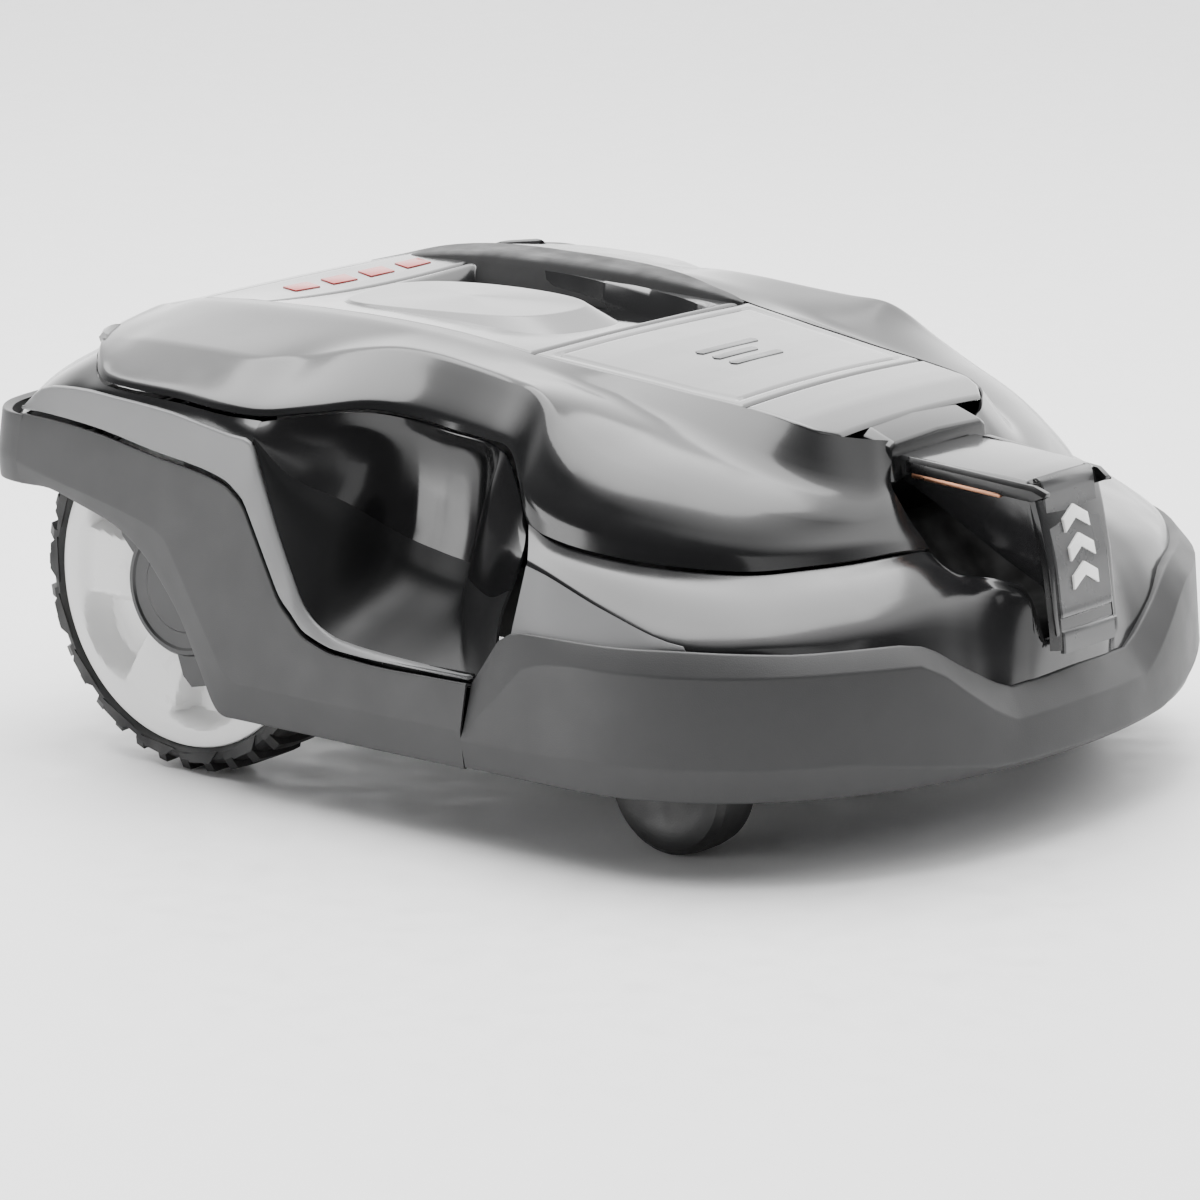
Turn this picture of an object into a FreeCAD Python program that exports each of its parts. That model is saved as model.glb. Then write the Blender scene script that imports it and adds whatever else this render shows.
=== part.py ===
import FreeCAD, Part
import math
import os

# Robotic lawn mower, millimetres.  +Z up, the nose faces -Y, the machine's left side is +X.
# The origin is on the ground under the middle of the machine.

V = FreeCAD.Vector

# ---- driving dimensions -------------------------------------------------------------------
LENGTH = 630.0            # nose of the bumper to the rear edge
WIDTH = 508.0             # over the bumper
WALL = 3.0                # moulded covers
SEAM = 1.0                # visible gap between neighbouring covers

FRONT_Y = -LENGTH / 2
REAR_Y = LENGTH / 2

WHEEL_Y, WHEEL_R = 155.0, 108.0            # drive wheel, to the tip of its lugs
WHEEL_OUT_X, WHEEL_WIDTH = 234.0, 48.0
TYRE_R, RIM_R = 104.5, 94.0
LUGS, SPOKES = 36, 5
AXLE_R = 6.0

CASTER_X, CASTER_Y = 180.0, -176.0         # swivel axis of a front wheel
CASTER_TRAIL, CASTER_R, CASTER_WIDTH = 10.0, 40.0, 36.0
CASTER_AXLE_R, STEM_R = 4.0, 7.0

CUT_Y = -30.0                              # axis of the cutting unit
CUT_Z = 40.0                               # underside of the blade disc at rest
LIFT = 20.0                                # height adjustment, up and down from rest
DISC_R, PIVOT_R, BLADES = 86.0, 78.0, 3
BLADE_REACH, BLADE_WIDTH, BLADE_THICK = 31.0, 18.0, 0.8
SHAFT_R = 4.0
SPINDLE_R = 5.0

RUN = 0.05                                 # radial clearance of a running fit

TRAY_TOP = 130.0                           # joint between lower and upper chassis
SEAL = 1.5
BOX_TOP = 172.0                            # flat roof of the upper chassis
CONSOLE_TOP = 205.0                        # panel under the hatch

SIDE_END = 40.5                            # the front half of the shell stops ahead of the wheels
BUMP_Y0 = -70.0                            # seam between bumper and rear skirt
BUMP_STRAIGHT = -139.0                     # the bumper's side is straight to here
BUMP_POWER = 2.11                          # roundness of the bumper's plan outline

HATCH_REAR, HATCH_FRONT = 3.0, -133.0
HATCH_PIN_R = 1.0
SWITCH_X, SWITCH_Y = 92.0, 208.0
STOP_Y0, STOP_Y1 = 196.0, 243.0
KEY_TRAVEL = 1.5

os.makedirs("parts", exist_ok=True)


# ---- helpers ------------------------------------------------------------------------------
def box(x0, y0, z0, x1, y1, z1):
    return Part.makeBox(x1 - x0, y1 - y0, z1 - z0, V(x0, y0, z0))


def rod(x, y, z0, z1, r):
    return Part.makeCylinder(r, z1 - z0, V(x, y, z0), V(0, 0, 1))


def ring(x, y, z0, z1, r_out, r_in):
    return rod(x, y, z0, z1, r_out).cut(rod(x, y, z0 - 1, z1 + 1, r_in))


def xrod(x0, x1, y, z, r):
    return Part.makeCylinder(r, x1 - x0, V(x0, y, z), V(1, 0, 0))


def xring(x0, x1, y, z, r_out, r_in):
    return xrod(x0, x1, y, z, r_out).cut(xrod(x0 - 1, x1 + 1, y, z, r_in))


def polygon(points):
    return Part.makePolygon(list(points) + [points[0]])


def prism(points, step):
    return Part.Face(polygon(points)).extrude(step)


def plan(points, z0, z1):
    return prism([V(x, y, z0) for x, y in points], V(0, 0, z1 - z0))


def side_plate(points, x0, x1):
    return prism([V(x0, y, z) for y, z in points], V(x1 - x0, 0, 0))


def mirrored(shape):
    return shape.mirror(V(0, 0, 0), V(1, 0, 0))


def both(half):
    """Half an outline, front to rear or bottom to top, with its mirror image."""
    other = [(-x, y) for x, y in reversed(half) if abs(x) > 1e-6]
    return list(half) + other


def loft(sections):
    return Part.makeLoft([polygon(s) for s in sections], True, True)


def save(name, shape):
    solids = shape.Solids
    assert solids and all(s.isValid() for s in solids), name
    result = solids[0] if len(solids) == 1 else Part.makeCompound(solids)
    result.exportStep("parts/" + name + ".step")
    print("%-22s %d solids %9.0f mm3" % (name, len(solids), sum(s.Volume for s in solids)))


def save_pair(name, right):
    save(name + "_right", right)
    save(name + "_left", mirrored(right))


# ---- outer shell: cross-sections along the length -------------------------------------------
# Each station: y, then the right half of the section as (x, z), bottom to top.
COVER = [
    (-256, [(-46, 158), (-42, 161), (-22, 163), (0, 164)]),
    (-215, [(-112, 156), (-98, 174), (-60, 190), (0, 196)]),
    (-180, [(-162, 157), (-140, 184), (-85, 213), (0, 218)]),
    (-142, [(-197, 162), (-172, 200), (-88, 226), (0, 230)]),
    (-100, [(-208, 169), (-182, 218), (-94, 231), (0, 235)]),
    (-66, [(-200, 195), (-174, 236), (-97, 235), (0, 239)]),
    (-40, [(-188, 212), (-166, 244), (-99, 238), (0, 242)]),
    (20, [(-180, 216), (-166, 250), (-103, 244), (0, 248)]),
    (60, [(-192, 217), (-174, 248), (-106, 249), (0, 252)]),
    (100, [(-238, 220), (-200, 243), (-109, 252), (0, 254)]),
    (150, [(-239, 221), (-202, 243), (-110, 253), (0, 255)]),
    (205, [(-239, 225), (-206, 243), (-112, 250), (0, 252)]),
    (235, [(-213, 238), (-192, 242), (-112, 247), (0, 249)]),
    (268, [(-120, 238), (-100, 240), (-60, 242), (0, 243)]),
]
SHELL = [
    (-306, [(-70, 98), (-60, 103), (-52, 107), (-44, 111)]),
    (-285, [(-118, 98), (-100, 112), (-82, 124), (-60, 134)]),
    (-256, [(-165, 98), (-142, 122), (-105, 140), (-46, 156)]),
    (-215, [(-202, 98), (-186, 126), (-156, 142), (-112, 154)]),
    (-180, [(-224, 98), (-212, 128), (-190, 144), (-162, 155)]),
    (-142, [(-238, 98), (-230, 126), (-214, 145), (-197, 160)]),
    (-100, [(-241, 98), (-232, 130), (-220, 150), (-208, 167)]),
    (-66, [(-241, 98), (-214, 122), (-200, 160), (-198, 193)]),
    (-40, [(-241, 98), (-190, 120), (-182, 160), (-186, 210)]),
    (20, [(-241, 98), (-188, 116), (-180, 160), (-178, 214)]),
    (35, [(-241, 98), (-241, 125), (-236, 168), (-179, 215)]),
    (60, [(-241, 98), (-241, 130), (-241, 182), (-194, 216)]),
    (82, [(-241, 98), (-241, 140), (-241, 202), (-218, 218)]),
    (100, [(-241, 98), (-241, 150), (-241, 204), (-238, 218)]),
    (205, [(-241, 98), (-241, 140), (-241, 206), (-239, 223)]),
    (235, [(-241, 98), (-241, 140), (-241, 204), (-213, 236)]),
    (268, [(-240, 98), (-240, 135), (-236, 175), (-120, 236)]),
    (308, [(-182, 98), (-184, 130), (-178, 160), (-120, 208)]),
]
# Wheel opening, just inside the skirt's lower edge, as (y, z).
ARCH = [(107, 40), (117, 52), (128, 76), (140, 100), (168, 134), (189, 146), (240, 161), (278, 163),
        (330, 163), (330, 40)]
# Right half of the raised centre panel's outline in plan.
DECK = [(-112, 262), (-109, 100), (-102, 4), (-86, -134), (-84, -170)]


def hull(stations, inset=0.0, floor=None, roof=None):
    """Solid through the stations; an inset one is the space inside the wall."""
    rows = [list(s) for s in stations]
    if inset:
        rows[0] = [rows[0][0] + inset, rows[0][1]]
        rows[-1] = [rows[-1][0] - inset, rows[-1][1]]
    sections = []
    for y, half in rows:
        points = []
        for x, z in half:
            points.append((min(x + inset, 0.0) if x else 0.0, z - inset))
        if floor is not None:
            points[0] = (points[0][0], floor)
        if roof is not None:
            points[-1] = (points[-1][0], points[-1][1] + roof)
        sections.append([V(x, y, z) for x, z in both(points)])
    return loft(sections)


def cover_shell():
    """Skin of the top, one wall thick, open below."""
    inner = hull(COVER, inset=WALL)
    below = inner.copy()
    below.translate(V(0, 0, -2 * WALL))
    return hull(COVER).cut(inner).cut(below)


def deck_outline(gap):
    half = [(x + gap, y) for x, y in DECK]
    return plan(both(half), 190, 275)


def band(y0, y1):
    return box(-300, y0, 0, 300, y1, 300)


skin = cover_shell()
deck_skin = skin.common(deck_outline(SEAM))


def bumper_outline(half_width, front, y_rear):
    """Right half of the plan outline, rear end to the nose, as (x, y)."""
    depth = BUMP_STRAIGHT - front
    steps = 14
    points = [(-half_width, y_rear)]
    for i in range(steps + 1):
        t = i * math.pi / 2 / steps
        x = -half_width * math.cos(t) ** (2 / BUMP_POWER)
        y = BUMP_STRAIGHT - depth * math.sin(t) ** (2 / BUMP_POWER)
        points.append((x if i < steps else 0.0, y))
    return points


def bumper_hull(inset, z_pad):
    levels = [(44, 250, 308), (64, WIDTH / 2, -FRONT_Y), (113, 251, 310), (124, 245, 301)]
    sections = []
    for i, (z, half, front) in enumerate(levels):
        if z_pad:
            z += {0: -z_pad, len(levels) - 1: z_pad}.get(i, 0)
        half_line = bumper_outline(half - inset, -front + inset, BUMP_Y0 + (z_pad or 0))
        sections.append([V(x, y, z) for x, y in both(half_line)])
    return loft(sections)


def front_bumper():
    band_solid = bumper_hull(0, 0).cut(bumper_hull(4.5, 2))
    dip = [(-115, 130), (-97, 107), (-56, 89), (56, 89), (97, 107), (115, 130)]
    dip_space = prism([V(x, -330, z) for x, z in dip], V(0, 100, 0))
    room = shell_outer_solid().common(box(-300, -320, 97, 300, 0, 130))
    return band_solid.cut(dip_space).cut(room)


def shell_outer_solid():
    return hull(SHELL)


def body_shell():
    outer = shell_outer_solid()
    inner = hull(SHELL, inset=WALL, floor=90, roof=3 * WALL)
    body = outer.cut(inner)
    body = body.fuse(fascia_nose())
    for x0, x1 in ((-300, -172), (172, 300)):
        body = body.cut(side_plate(ARCH, x0, x1))
    nose_room = box(-40, -330, 90, 40, -240, 260)
    return body.cut(nose_room).cut(band(SIDE_END, 400))


def tail_shell():
    """Rear wall; the side skirts and strips join it to the front half past the wheels."""
    outer = shell_outer_solid()
    tail = outer.common(band(262, 310)).cut(hull(SHELL, inset=WALL, floor=90))
    return tail.cut(box(-300, 0, 0, 300, 400, 163))


def fascia_nose():
    """Full front of the shell beside the nose, above the bumper's dip."""
    arc = [(-118, -281), (-96, -289), (-56, -297), (0, -300)]
    sections = []
    for z, back in ((90, 0), (125, 4), (141, 16)):
        front = both([(x, y + back) for x, y in arc])
        rear = [(x, y + 3) for x, y in reversed(front)]
        sections.append([V(x, y, z) for x, y in front + rear])
    return loft(sections)


def rear_skirt():
    """Matte band that joins the two side skirts round the back."""
    sections = []
    for z, lean in ((158, 0.0), (176, 0.0), (198, 6.0)):
        outer = [(-250 + lean, 262), (-246 + lean, 284), (-222, 302 - lean), (-150, 312 - lean),
                 (0, REAR_Y - lean)]
        inner = [(-246 + lean, 262), (-242 + lean, 282), (-220, 298 - lean), (-149, 309.5 - lean),
                 (0, REAR_Y - 4 - lean)]
        ring_points = both(outer) + list(reversed(both(inner)))
        sections.append([V(x, y, z) for x, y in ring_points])
    belt = loft(sections).cut(side_skirt()).cut(mirrored(side_skirt()))
    return belt.cut(shell_outer_solid())


def top_cover():
    cover = skin.cut(deck_outline(0))
    cover = cover.cut(box(-40, -330, 90, 40, -206, 260))
    ribs = [ring(x, y, COLLAR_Z1, 270, 12, 8) for x, y in POSTS]
    space = hull(COVER, inset=WALL - 0.5).fuse(box(-160, 190, 190, 160, 220, 224))
    hood = side_plate(HOOD, -45, 45).cut(hull(COVER, inset=WALL))
    return cover.fuse([rib.common(space) for rib in ribs]).fuse(hood)


HOOD = [(-205, 202), (-205, 207), (-189, 215), (-173, 220), (-173, 208), (-200, 200)]


# Suspension posts stand on the chassis roof; the shell floats on collars around them.
POSTS = [(-128, -120), (128, -120), (-140, 205), (140, 205)]
POST_R, COLLAR_Z0, COLLAR_Z1 = 7.0, 188.0, 198.0


def suspension_posts():
    return Part.makeCompound([rod(x, y, BOX_TOP, COLLAR_Z1 - 2, POST_R).fuse(
        rod(x, y, BOX_TOP, COLLAR_Z0, POST_R + 3)) for x, y in POSTS])


def lift_collars():
    cups = []
    for x, y in POSTS:
        cup = rod(x, y, COLLAR_Z0, COLLAR_Z1, 11).cut(rod(x, y, 180, COLLAR_Z1 - 2, POST_R + RUN))
        cups.append(cup)
    return Part.makeCompound(cups)


# ---- side pieces ------------------------------------------------------------------------------
SKIRT_TOP = [(-69, 92), (-5, 91), (30, 93), (50, 100), (66, 116), (79, 141), (93, 168),
             (105, 177), (124, 182), (160, 187), (219, 197), (263, 199)]
SKIRT_LOW = [(278, 183), (283, 161), (274, 157), (240, 158), (189, 143), (168, 131), (140, 97),
             (128, 73), (117, 50), (107, 44), (-69, 44)]
STRIP_TOP = [(-69, 94), (-4, 97), (30, 101), (44, 108), (53, 117), (66, 144), (77, 171),
             (90, 204), (157, 214), (224, 218), (250, 215), (263, 201)]


def side_skirt():
    outer = side_plate(SKIRT_TOP + SKIRT_LOW, -251, -246)
    foot = side_plate([(-69, 44), (-69, 90), (90, 90), (112, 44)], -246, -243)
    return outer.fuse(foot)


def side_strip():
    lower = [(y, z + SEAM) for y, z in reversed(SKIRT_TOP)]
    return side_plate(STRIP_TOP + lower, -247.5, -242)


# ---- nose -----------------------------------------------------------------------------------
NOSE_REAR = -241.0                         # the nose stands in a slot in front of this
NOSE_FOOT = 109.5


def nose_block():
    profile = [(-304, NOSE_FOOT), (-289, 192), (-285, 197), (-207, 202), (-207, 188), (NOSE_REAR, 168),
               (NOSE_REAR, NOSE_FOOT)]
    taper = plan(both([(-36, -200), (-27, -306)]), 100, 220)
    return side_plate(profile, -36, 36).common(taper)


def nose_plate():
    slab = [(-309.5, NOSE_FOOT), (-304, NOSE_FOOT), (-289, 192), (-290, 196), (-293, 194)]
    return side_plate(slab, -26, 26)


def nose_badge():
    plate = side_plate([(-307.4, 133), (-305.4, 133), (-296.4, 181), (-298.4, 181)], -13, 13)
    hole = side_plate([(-312, 146), (-300, 146), (-292, 170), (-304, 170)], -6, 6)
    return plate.cut(hole)


def charge_rails():
    rail = side_plate([(-290, 187), (-291, 192), (-214, 200.5), (-214, 192)], -39, -30)
    rail = rail.cut(nose_block())
    return Part.makeCompound([rail, mirrored(rail)])


def contact_strips():
    strip = side_plate([(-272, 189.5), (-272, 192.5), (-218, 198), (-218, 194)], -39.6, -39)
    return Part.makeCompound([strip, mirrored(strip)])


# ---- centre panel: stop button, hump, handle, hatch ------------------------------------------
def deck_front():
    return deck_skin.common(band(-175, HATCH_FRONT - 5))


HATCH_AXIS_Y = HATCH_FRONT - 1.0
HATCH_AXIS_Z = 228.2
KNUCKLES = [(-34, -18), (18, 34)]


def hatch_cover():
    panel = deck_skin.common(band(HATCH_FRONT, HATCH_REAR))
    for x0, x1 in KNUCKLES:
        for ear_x in (x0 - 8, x1 + 1):
            panel = panel.cut(box(ear_x, HATCH_FRONT - 1, 200, ear_x + 7, HATCH_FRONT + 3, 250))
        arm = box(x0, HATCH_AXIS_Y, HATCH_AXIS_Z - 2.4, x1, HATCH_FRONT + 6, HATCH_AXIS_Z - 0.4)
        panel = panel.fuse(arm).fuse(xrod(x0, x1, HATCH_AXIS_Y, HATCH_AXIS_Z, 2.6))
    for x0, x1 in KNUCKLES:
        panel = panel.cut(xrod(x0 - 1, x1 + 1, HATCH_AXIS_Y, HATCH_AXIS_Z, HATCH_PIN_R + RUN))
    return panel


def hatch_pins():
    pins = []
    for x0, x1 in KNUCKLES:
        pin = xrod(x0 - 8, x1 + 8, HATCH_AXIS_Y, HATCH_AXIS_Z, HATCH_PIN_R)
        for ear_x in (x0 - 7, x1 + 2):
            ear = box(ear_x, HATCH_AXIS_Y - 7, HATCH_AXIS_Z - 5, ear_x + 5, HATCH_AXIS_Y + 1.5,
                      HATCH_AXIS_Z + 1.5)
            pin = pin.fuse(ear)
        pins.append(pin.cut(deck_front()))
    return Part.makeCompound(pins)


GRIP = (34.0, 40.0, 100.0, 182.0)          # hand recess beside the hump: x0, y0, x1, y1
GRIP_FLOOR = 222.0


def deck_rear():
    panel = deck_skin.common(band(HATCH_REAR + 2, 262))
    x0, y0, x1, y1 = GRIP
    panel = panel.cut(box(x0, y0, 200, x1, y1, 300))
    panel = panel.cut(box(-96, STOP_Y0 - SEAM, 200, 96, STOP_Y1 + SEAM, 300))
    tub = box(x0 - 2, y0 - 2, GRIP_FLOOR - 2, x1 + 2, y1 + 2, 249)
    tub = tub.cut(box(x0, y0, GRIP_FLOOR, x1, y1, 260))
    base = [V(-88, 18, 243), V(30, 18, 243), V(30, 188, 250), V(-88, 188, 250)]
    top = [V(-64, 42, 255), V(16, 42, 255), V(18, 180, 255.5), V(-70, 180, 255.5)]
    hump = loft([base, top])
    panel = panel.fuse(tub).fuse(hump)
    cavity = box(-60, 50, 240, 12, 172, 251)
    return panel.cut(cavity)


def handle_bar():
    x0, y0, x1, y1 = GRIP
    profile = [(y0 - 14, 243), (y0 + 6, 243), (y0 + 10, 247), (y1 - 10, 247), (y1 - 6, 243),
               (y1 + 14, 243), (y1 + 14, 252), (y1 + 6, 255), (y1 - 20, 256.5), (110, 257),
               (y0 + 24, 256), (y0 - 2, 253.5), (y0 - 14, 250)]
    bar = side_plate(profile, x1 - 30, x1)
    return max(bar.cut(deck_rear()).Solids, key=lambda piece: piece.Volume)


def stop_button():
    top = deck_skin.common(box(-95, STOP_Y0, 200, 95, STOP_Y1, 300))
    core = box(-90, STOP_Y0 + 4, 240, 90, STOP_Y1 - 4, 245)
    pin = rod(0, (STOP_Y0 + STOP_Y1) / 2, 226, 240, 6)
    return top.fuse(core.cut(band(0, 400).cut(hull(COVER)))).fuse(pin)


# ---- chassis ------------------------------------------------------------------------------
TRAY_MID = [(-140, -205), (-140, -150), (-156, -140), (-156, 92), (-166, 100), (-166, 250)]
BOX_PLAN = [(-116, -162), (-140, -150), (-150, -130), (-150, 92), (-160, 100), (-160, 244)]


def inset_plan(half, gap):
    y_first, y_last = half[0][1], half[-1][1]
    rows = []
    for x, y in half:
        y_in = y + gap if y == y_first else (y - gap if y == y_last else y)
        rows.append((x + gap, y_in))
    return rows


def lower_chassis():
    front = plan(both(TRAY_MID), 92, TRAY_TOP)
    rear = box(-166, 96, 66, 166, 250, TRAY_TOP)
    hollow = plan(both(inset_plan(TRAY_MID, 4)), 95, TRAY_TOP + 1)
    hollow = hollow.fuse(box(-162, 100, 69, 162, 246, TRAY_TOP + 1))
    tray = front.fuse(rear)
    pods = []
    for x in (-CASTER_X, CASTER_X):
        pods.append(rod(x, CASTER_Y, 92, 114, 14))
        pods.append(box(min(x, x * 0.75), CASTER_Y - 12, 92, max(x, x * 0.75), CASTER_Y + 12, 110))
    tray = tray.fuse(pods).cut(hollow)
    tray = tray.fuse(ring(0, CUT_Y, 92, 100, 46, 41))
    tray = tray.cut(rod(0, CUT_Y, 80, 140, 41))
    for x in (-CASTER_X, CASTER_X):
        tray = tray.cut(rod(x, CASTER_Y, 80, 140, BUSH_R))
    for x0, x1 in ((-170, -160), (160, 170)):
        tray = tray.cut(xrod(x0, x1, WHEEL_Y, WHEEL_R, 20))
    return tray.cut(box(SWITCH_X - 12, SWITCH_Y - 12, 60, SWITCH_X + 12, SWITCH_Y + 12, 72))


BUSH_R = 9.0


def caster_bushes():
    return Part.makeCompound([ring(x, CASTER_Y, 92, 114, BUSH_R, STEM_R + RUN)
                              for x in (-CASTER_X, CASTER_X)])


def upper_chassis():
    base = TRAY_TOP + SEAL
    lid = plan(both(BOX_PLAN), base, BOX_TOP)
    console = plan(both([(-74, -126), (-80, -116), (-80, 0)]), BOX_TOP - 1, CONSOLE_TOP)
    flange = plan(both(TRAY_MID), base, base + 3)
    lid = lid.fuse(console).fuse(flange)
    lid = lid.cut(plan(both(inset_plan(BOX_PLAN, 4)), base - 1, BOX_TOP - 3))
    lid = lid.cut(plan(both([(-71, -123), (-77, -113), (-77, -3)]), BOX_TOP - 5, CONSOLE_TOP - 3))
    lid = lid.cut(rod(0, CUT_Y, CONSOLE_TOP - 10, CONSOLE_TOP + 5, SPINDLE_R + 1))
    lid = lid.cut(box(DISPLAY[0], DISPLAY[1], CONSOLE_TOP - 2, DISPLAY[2], DISPLAY[3], CONSOLE_TOP + 2))
    for x, y in KEYS:
        lid = lid.cut(rod(x, y, CONSOLE_TOP - 6, CONSOLE_TOP + 2, 3))
    return lid


DISPLAY = (-58.0, -116.0, 4.0, -72.0)      # recess in the console: x0, y0, x1, y1
KEYS = [(26.0, -106.0), (50.0, -106.0), (26.0, -82.0), (50.0, -82.0)]
KEY_R = 8.0


def chassis_seal():
    return plan(both(TRAY_MID), TRAY_TOP, TRAY_TOP + SEAL).cut(
        plan(both(inset_plan(TRAY_MID, 4)), TRAY_TOP - 1, TRAY_TOP + SEAL + 1))


def display():
    x0, y0, x1, y1 = DISPLAY
    return box(x0 + 0.5, y0 + 0.5, CONSOLE_TOP - 2, x1 - 0.5, y1 - 0.5, CONSOLE_TOP + 1)


def keypad_frame():
    xs = [k[0] for k in KEYS]
    ys = [k[1] for k in KEYS]
    plate = box(min(xs) - 12, min(ys) - 12, CONSOLE_TOP, max(xs) + 12, max(ys) + 12, CONSOLE_TOP + 2)
    for x, y in KEYS:
        plate = plate.cut(rod(x, y, CONSOLE_TOP - 1, CONSOLE_TOP + 3, KEY_R + 0.5))
    return plate


def key(x, y):
    cap = rod(x, y, CONSOLE_TOP + KEY_TRAVEL + 0.3, CONSOLE_TOP + 5, KEY_R)
    return cap.fuse(rod(x, y, CONSOLE_TOP - 4, CONSOLE_TOP + 3, 2.5))


def battery_pack():
    """Ten round cells in a shrink sleeve, which follows the cells' outline."""
    pack = box(-48, 166, 71, 48, 238, 112)
    for row in range(2):
        for end in (-48, 48):
            cell = Part.makeCylinder(10.2, 72, V(end, 166, 81.5 + 20.2 * row), V(0, 1, 0))
            pack = pack.fuse(cell)
    return pack.fuse(box(-14, 162, 96, 14, 168, 108))


def main_board():
    board = box(-60, 110, 140, 60, 230, 141.6)
    for x, y, w in ((-40, 130, 18), (0, 150, 24), (34, 190, 20), (-30, 196, 26)):
        board = board.fuse(box(x, y, 141.6, x + w, y + w * 0.6, 146))
    return board


def gearmotor():
    """Right drive motor with its gearbox; the wheel's axle turns in the gearbox."""
    motor = xrod(-118, -62, WHEEL_Y, WHEEL_R, 20)
    gearbox = xrod(-155, -118, WHEEL_Y, WHEEL_R, 30)
    flange = xring(-162, -154, WHEEL_Y, WHEEL_R, 20.5, 12)
    unit = motor.fuse(gearbox).fuse(flange).fuse(xrod(-170, -154, WHEEL_Y, WHEEL_R, 16))
    return unit.cut(xrod(-175, -128, WHEEL_Y, WHEEL_R, AXLE_R + RUN))


def chassis_screws():
    spots = [(-148, -60), (148, -60), (-148, 60), (148, 60), (-60, -198), (60, -198)]
    z0 = 92
    screws = []
    for x, y in spots:
        screws.append(rod(x, y, z0 - 2.4, z0, 4.2).cut(rod(x, y, z0 - 3, z0 - 1, 1.6)))
    return Part.makeCompound(screws)


def main_switch():
    """Rocker in the floor at the rear, turning on a lengthwise axis."""
    return box(SWITCH_X - 11, SWITCH_Y - 10, 65, SWITCH_X + 11, SWITCH_Y + 10, 69)


# ---- cutting unit --------------------------------------------------------------------------
CARRIER_Z0, CARRIER_Z1 = 74.0, 128.0


def cutter_guide():
    guide = ring(0, CUT_Y, 92, 150, 41, 37.6)
    for k in range(3):
        a = math.radians(90 + 120 * k)
        x, y = 39.0 * math.cos(a), CUT_Y + 39.0 * math.sin(a)
        guide = guide.cut(rod(x, y, 100, 155, 2.2))
    return guide


def cutter_carrier():
    cup = rod(0, CUT_Y, CARRIER_Z0, CARRIER_Z1, 37.2)
    cup = cup.cut(rod(0, CUT_Y, CARRIER_Z0 - 1, CARRIER_Z0 + 40, 31.2))
    cup = cup.cut(rod(0, CUT_Y, CARRIER_Z0 + 39, CARRIER_Z1 + 1, SPINDLE_R + RUN))
    return cup


def cutting_motor():
    can = rod(0, CUT_Y, 66, CARRIER_Z0 + 30, 31)
    can = can.fuse(rod(0, CUT_Y, 58, 66, 12))
    return can.cut(rod(0, CUT_Y, 50, 96, SHAFT_R + RUN))


def height_knob():
    knob = rod(0, CUT_Y, CONSOLE_TOP + 0.6, CONSOLE_TOP + 13, 22)
    grip = box(-4, CUT_Y - 20, CONSOLE_TOP + 12, 4, CUT_Y + 20, CONSOLE_TOP + 20)
    for k in range(12):
        a = math.radians(30 * k)
        knob = knob.cut(rod(24 * math.cos(a), CUT_Y + 24 * math.sin(a), CONSOLE_TOP, CONSOLE_TOP + 14, 3.6))
    spindle = rod(0, CUT_Y, 116 + LIFT - 6, CONSOLE_TOP + 1, SPINDLE_R)
    return knob.fuse(grip).fuse(spindle)


def blade_disc():
    disc = rod(0, CUT_Y, CUT_Z, CUT_Z + 3, DISC_R)
    for k in range(6):
        a = math.radians(60 * k + 30)
        disc = disc.cut(rod(48 * math.cos(a), CUT_Y + 48 * math.sin(a), CUT_Z - 1, CUT_Z + 5, 13))
    hub = rod(0, CUT_Y, CUT_Z + 2, CUT_Z + 14, 14)
    shaft = rod(0, CUT_Y, CUT_Z - 16, 92, SHAFT_R)
    for x, y in pivots():
        disc = disc.cut(rod(x, y, CUT_Z - 1, CUT_Z + 5, 2.0))
    return disc.fuse(hub).fuse(shaft)


def pivots():
    spots = []
    for k in range(BLADES):
        a = math.radians(-90 + 120 * k)
        spots.append((PIVOT_R * math.cos(a), CUT_Y + PIVOT_R * math.sin(a)))
    return spots


BLADE_Z = CUT_Z - 2.0


def blade_screws():
    screws = []
    for x, y in pivots():
        screw = rod(x, y, CUT_Z - 1, CUT_Z + 5, 2.0)
        screw = screw.fuse(rod(x, y, BLADE_Z - 0.4, CUT_Z, 2.5))
        head = rod(x, y, BLADE_Z - 2.4, BLADE_Z - 0.4, 4.5).cut(
            box(x - 5, y - 0.5, BLADE_Z - 3, x + 5, y + 0.5, BLADE_Z - 1.6))
        screws.append(screw.fuse(head))
    return Part.makeCompound(screws)


def blade(k):
    x, y = pivots()[k]
    half = BLADE_WIDTH / 2
    plate = box(-half, -BLADE_REACH, BLADE_Z, half, 7, BLADE_Z + BLADE_THICK)
    for side in (-1, 1):
        edge = prism([V(side * half, -BLADE_REACH - 1, BLADE_Z - 0.01),
                      V(side * half, -6, BLADE_Z - 0.01),
                      V(side * (half - 2), -BLADE_REACH - 1, BLADE_Z - 0.01)], V(0, 0, 1))
        plate = plate.cut(edge)
    plate = plate.cut(rod(0, 0, BLADE_Z - 1, BLADE_Z + 2, 2.5 + 0.08))
    plate.rotate(V(0, 0, 0), V(0, 0, 1), 120 * k)
    plate.translate(V(x, y, 0))
    return plate


def skid_plate():
    dish = rod(0, CUT_Y, CUT_Z - 13, CUT_Z - 10.5, 68)
    dish = dish.fuse(ring(0, CUT_Y, CUT_Z - 13, CUT_Z - 8.5, 70, 64))
    dish = dish.fuse(rod(0, CUT_Y, CUT_Z - 13, CUT_Z - 3, 12))
    return dish.cut(rod(0, CUT_Y, CUT_Z - 20, CUT_Z + 2, SHAFT_R + RUN))


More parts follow.
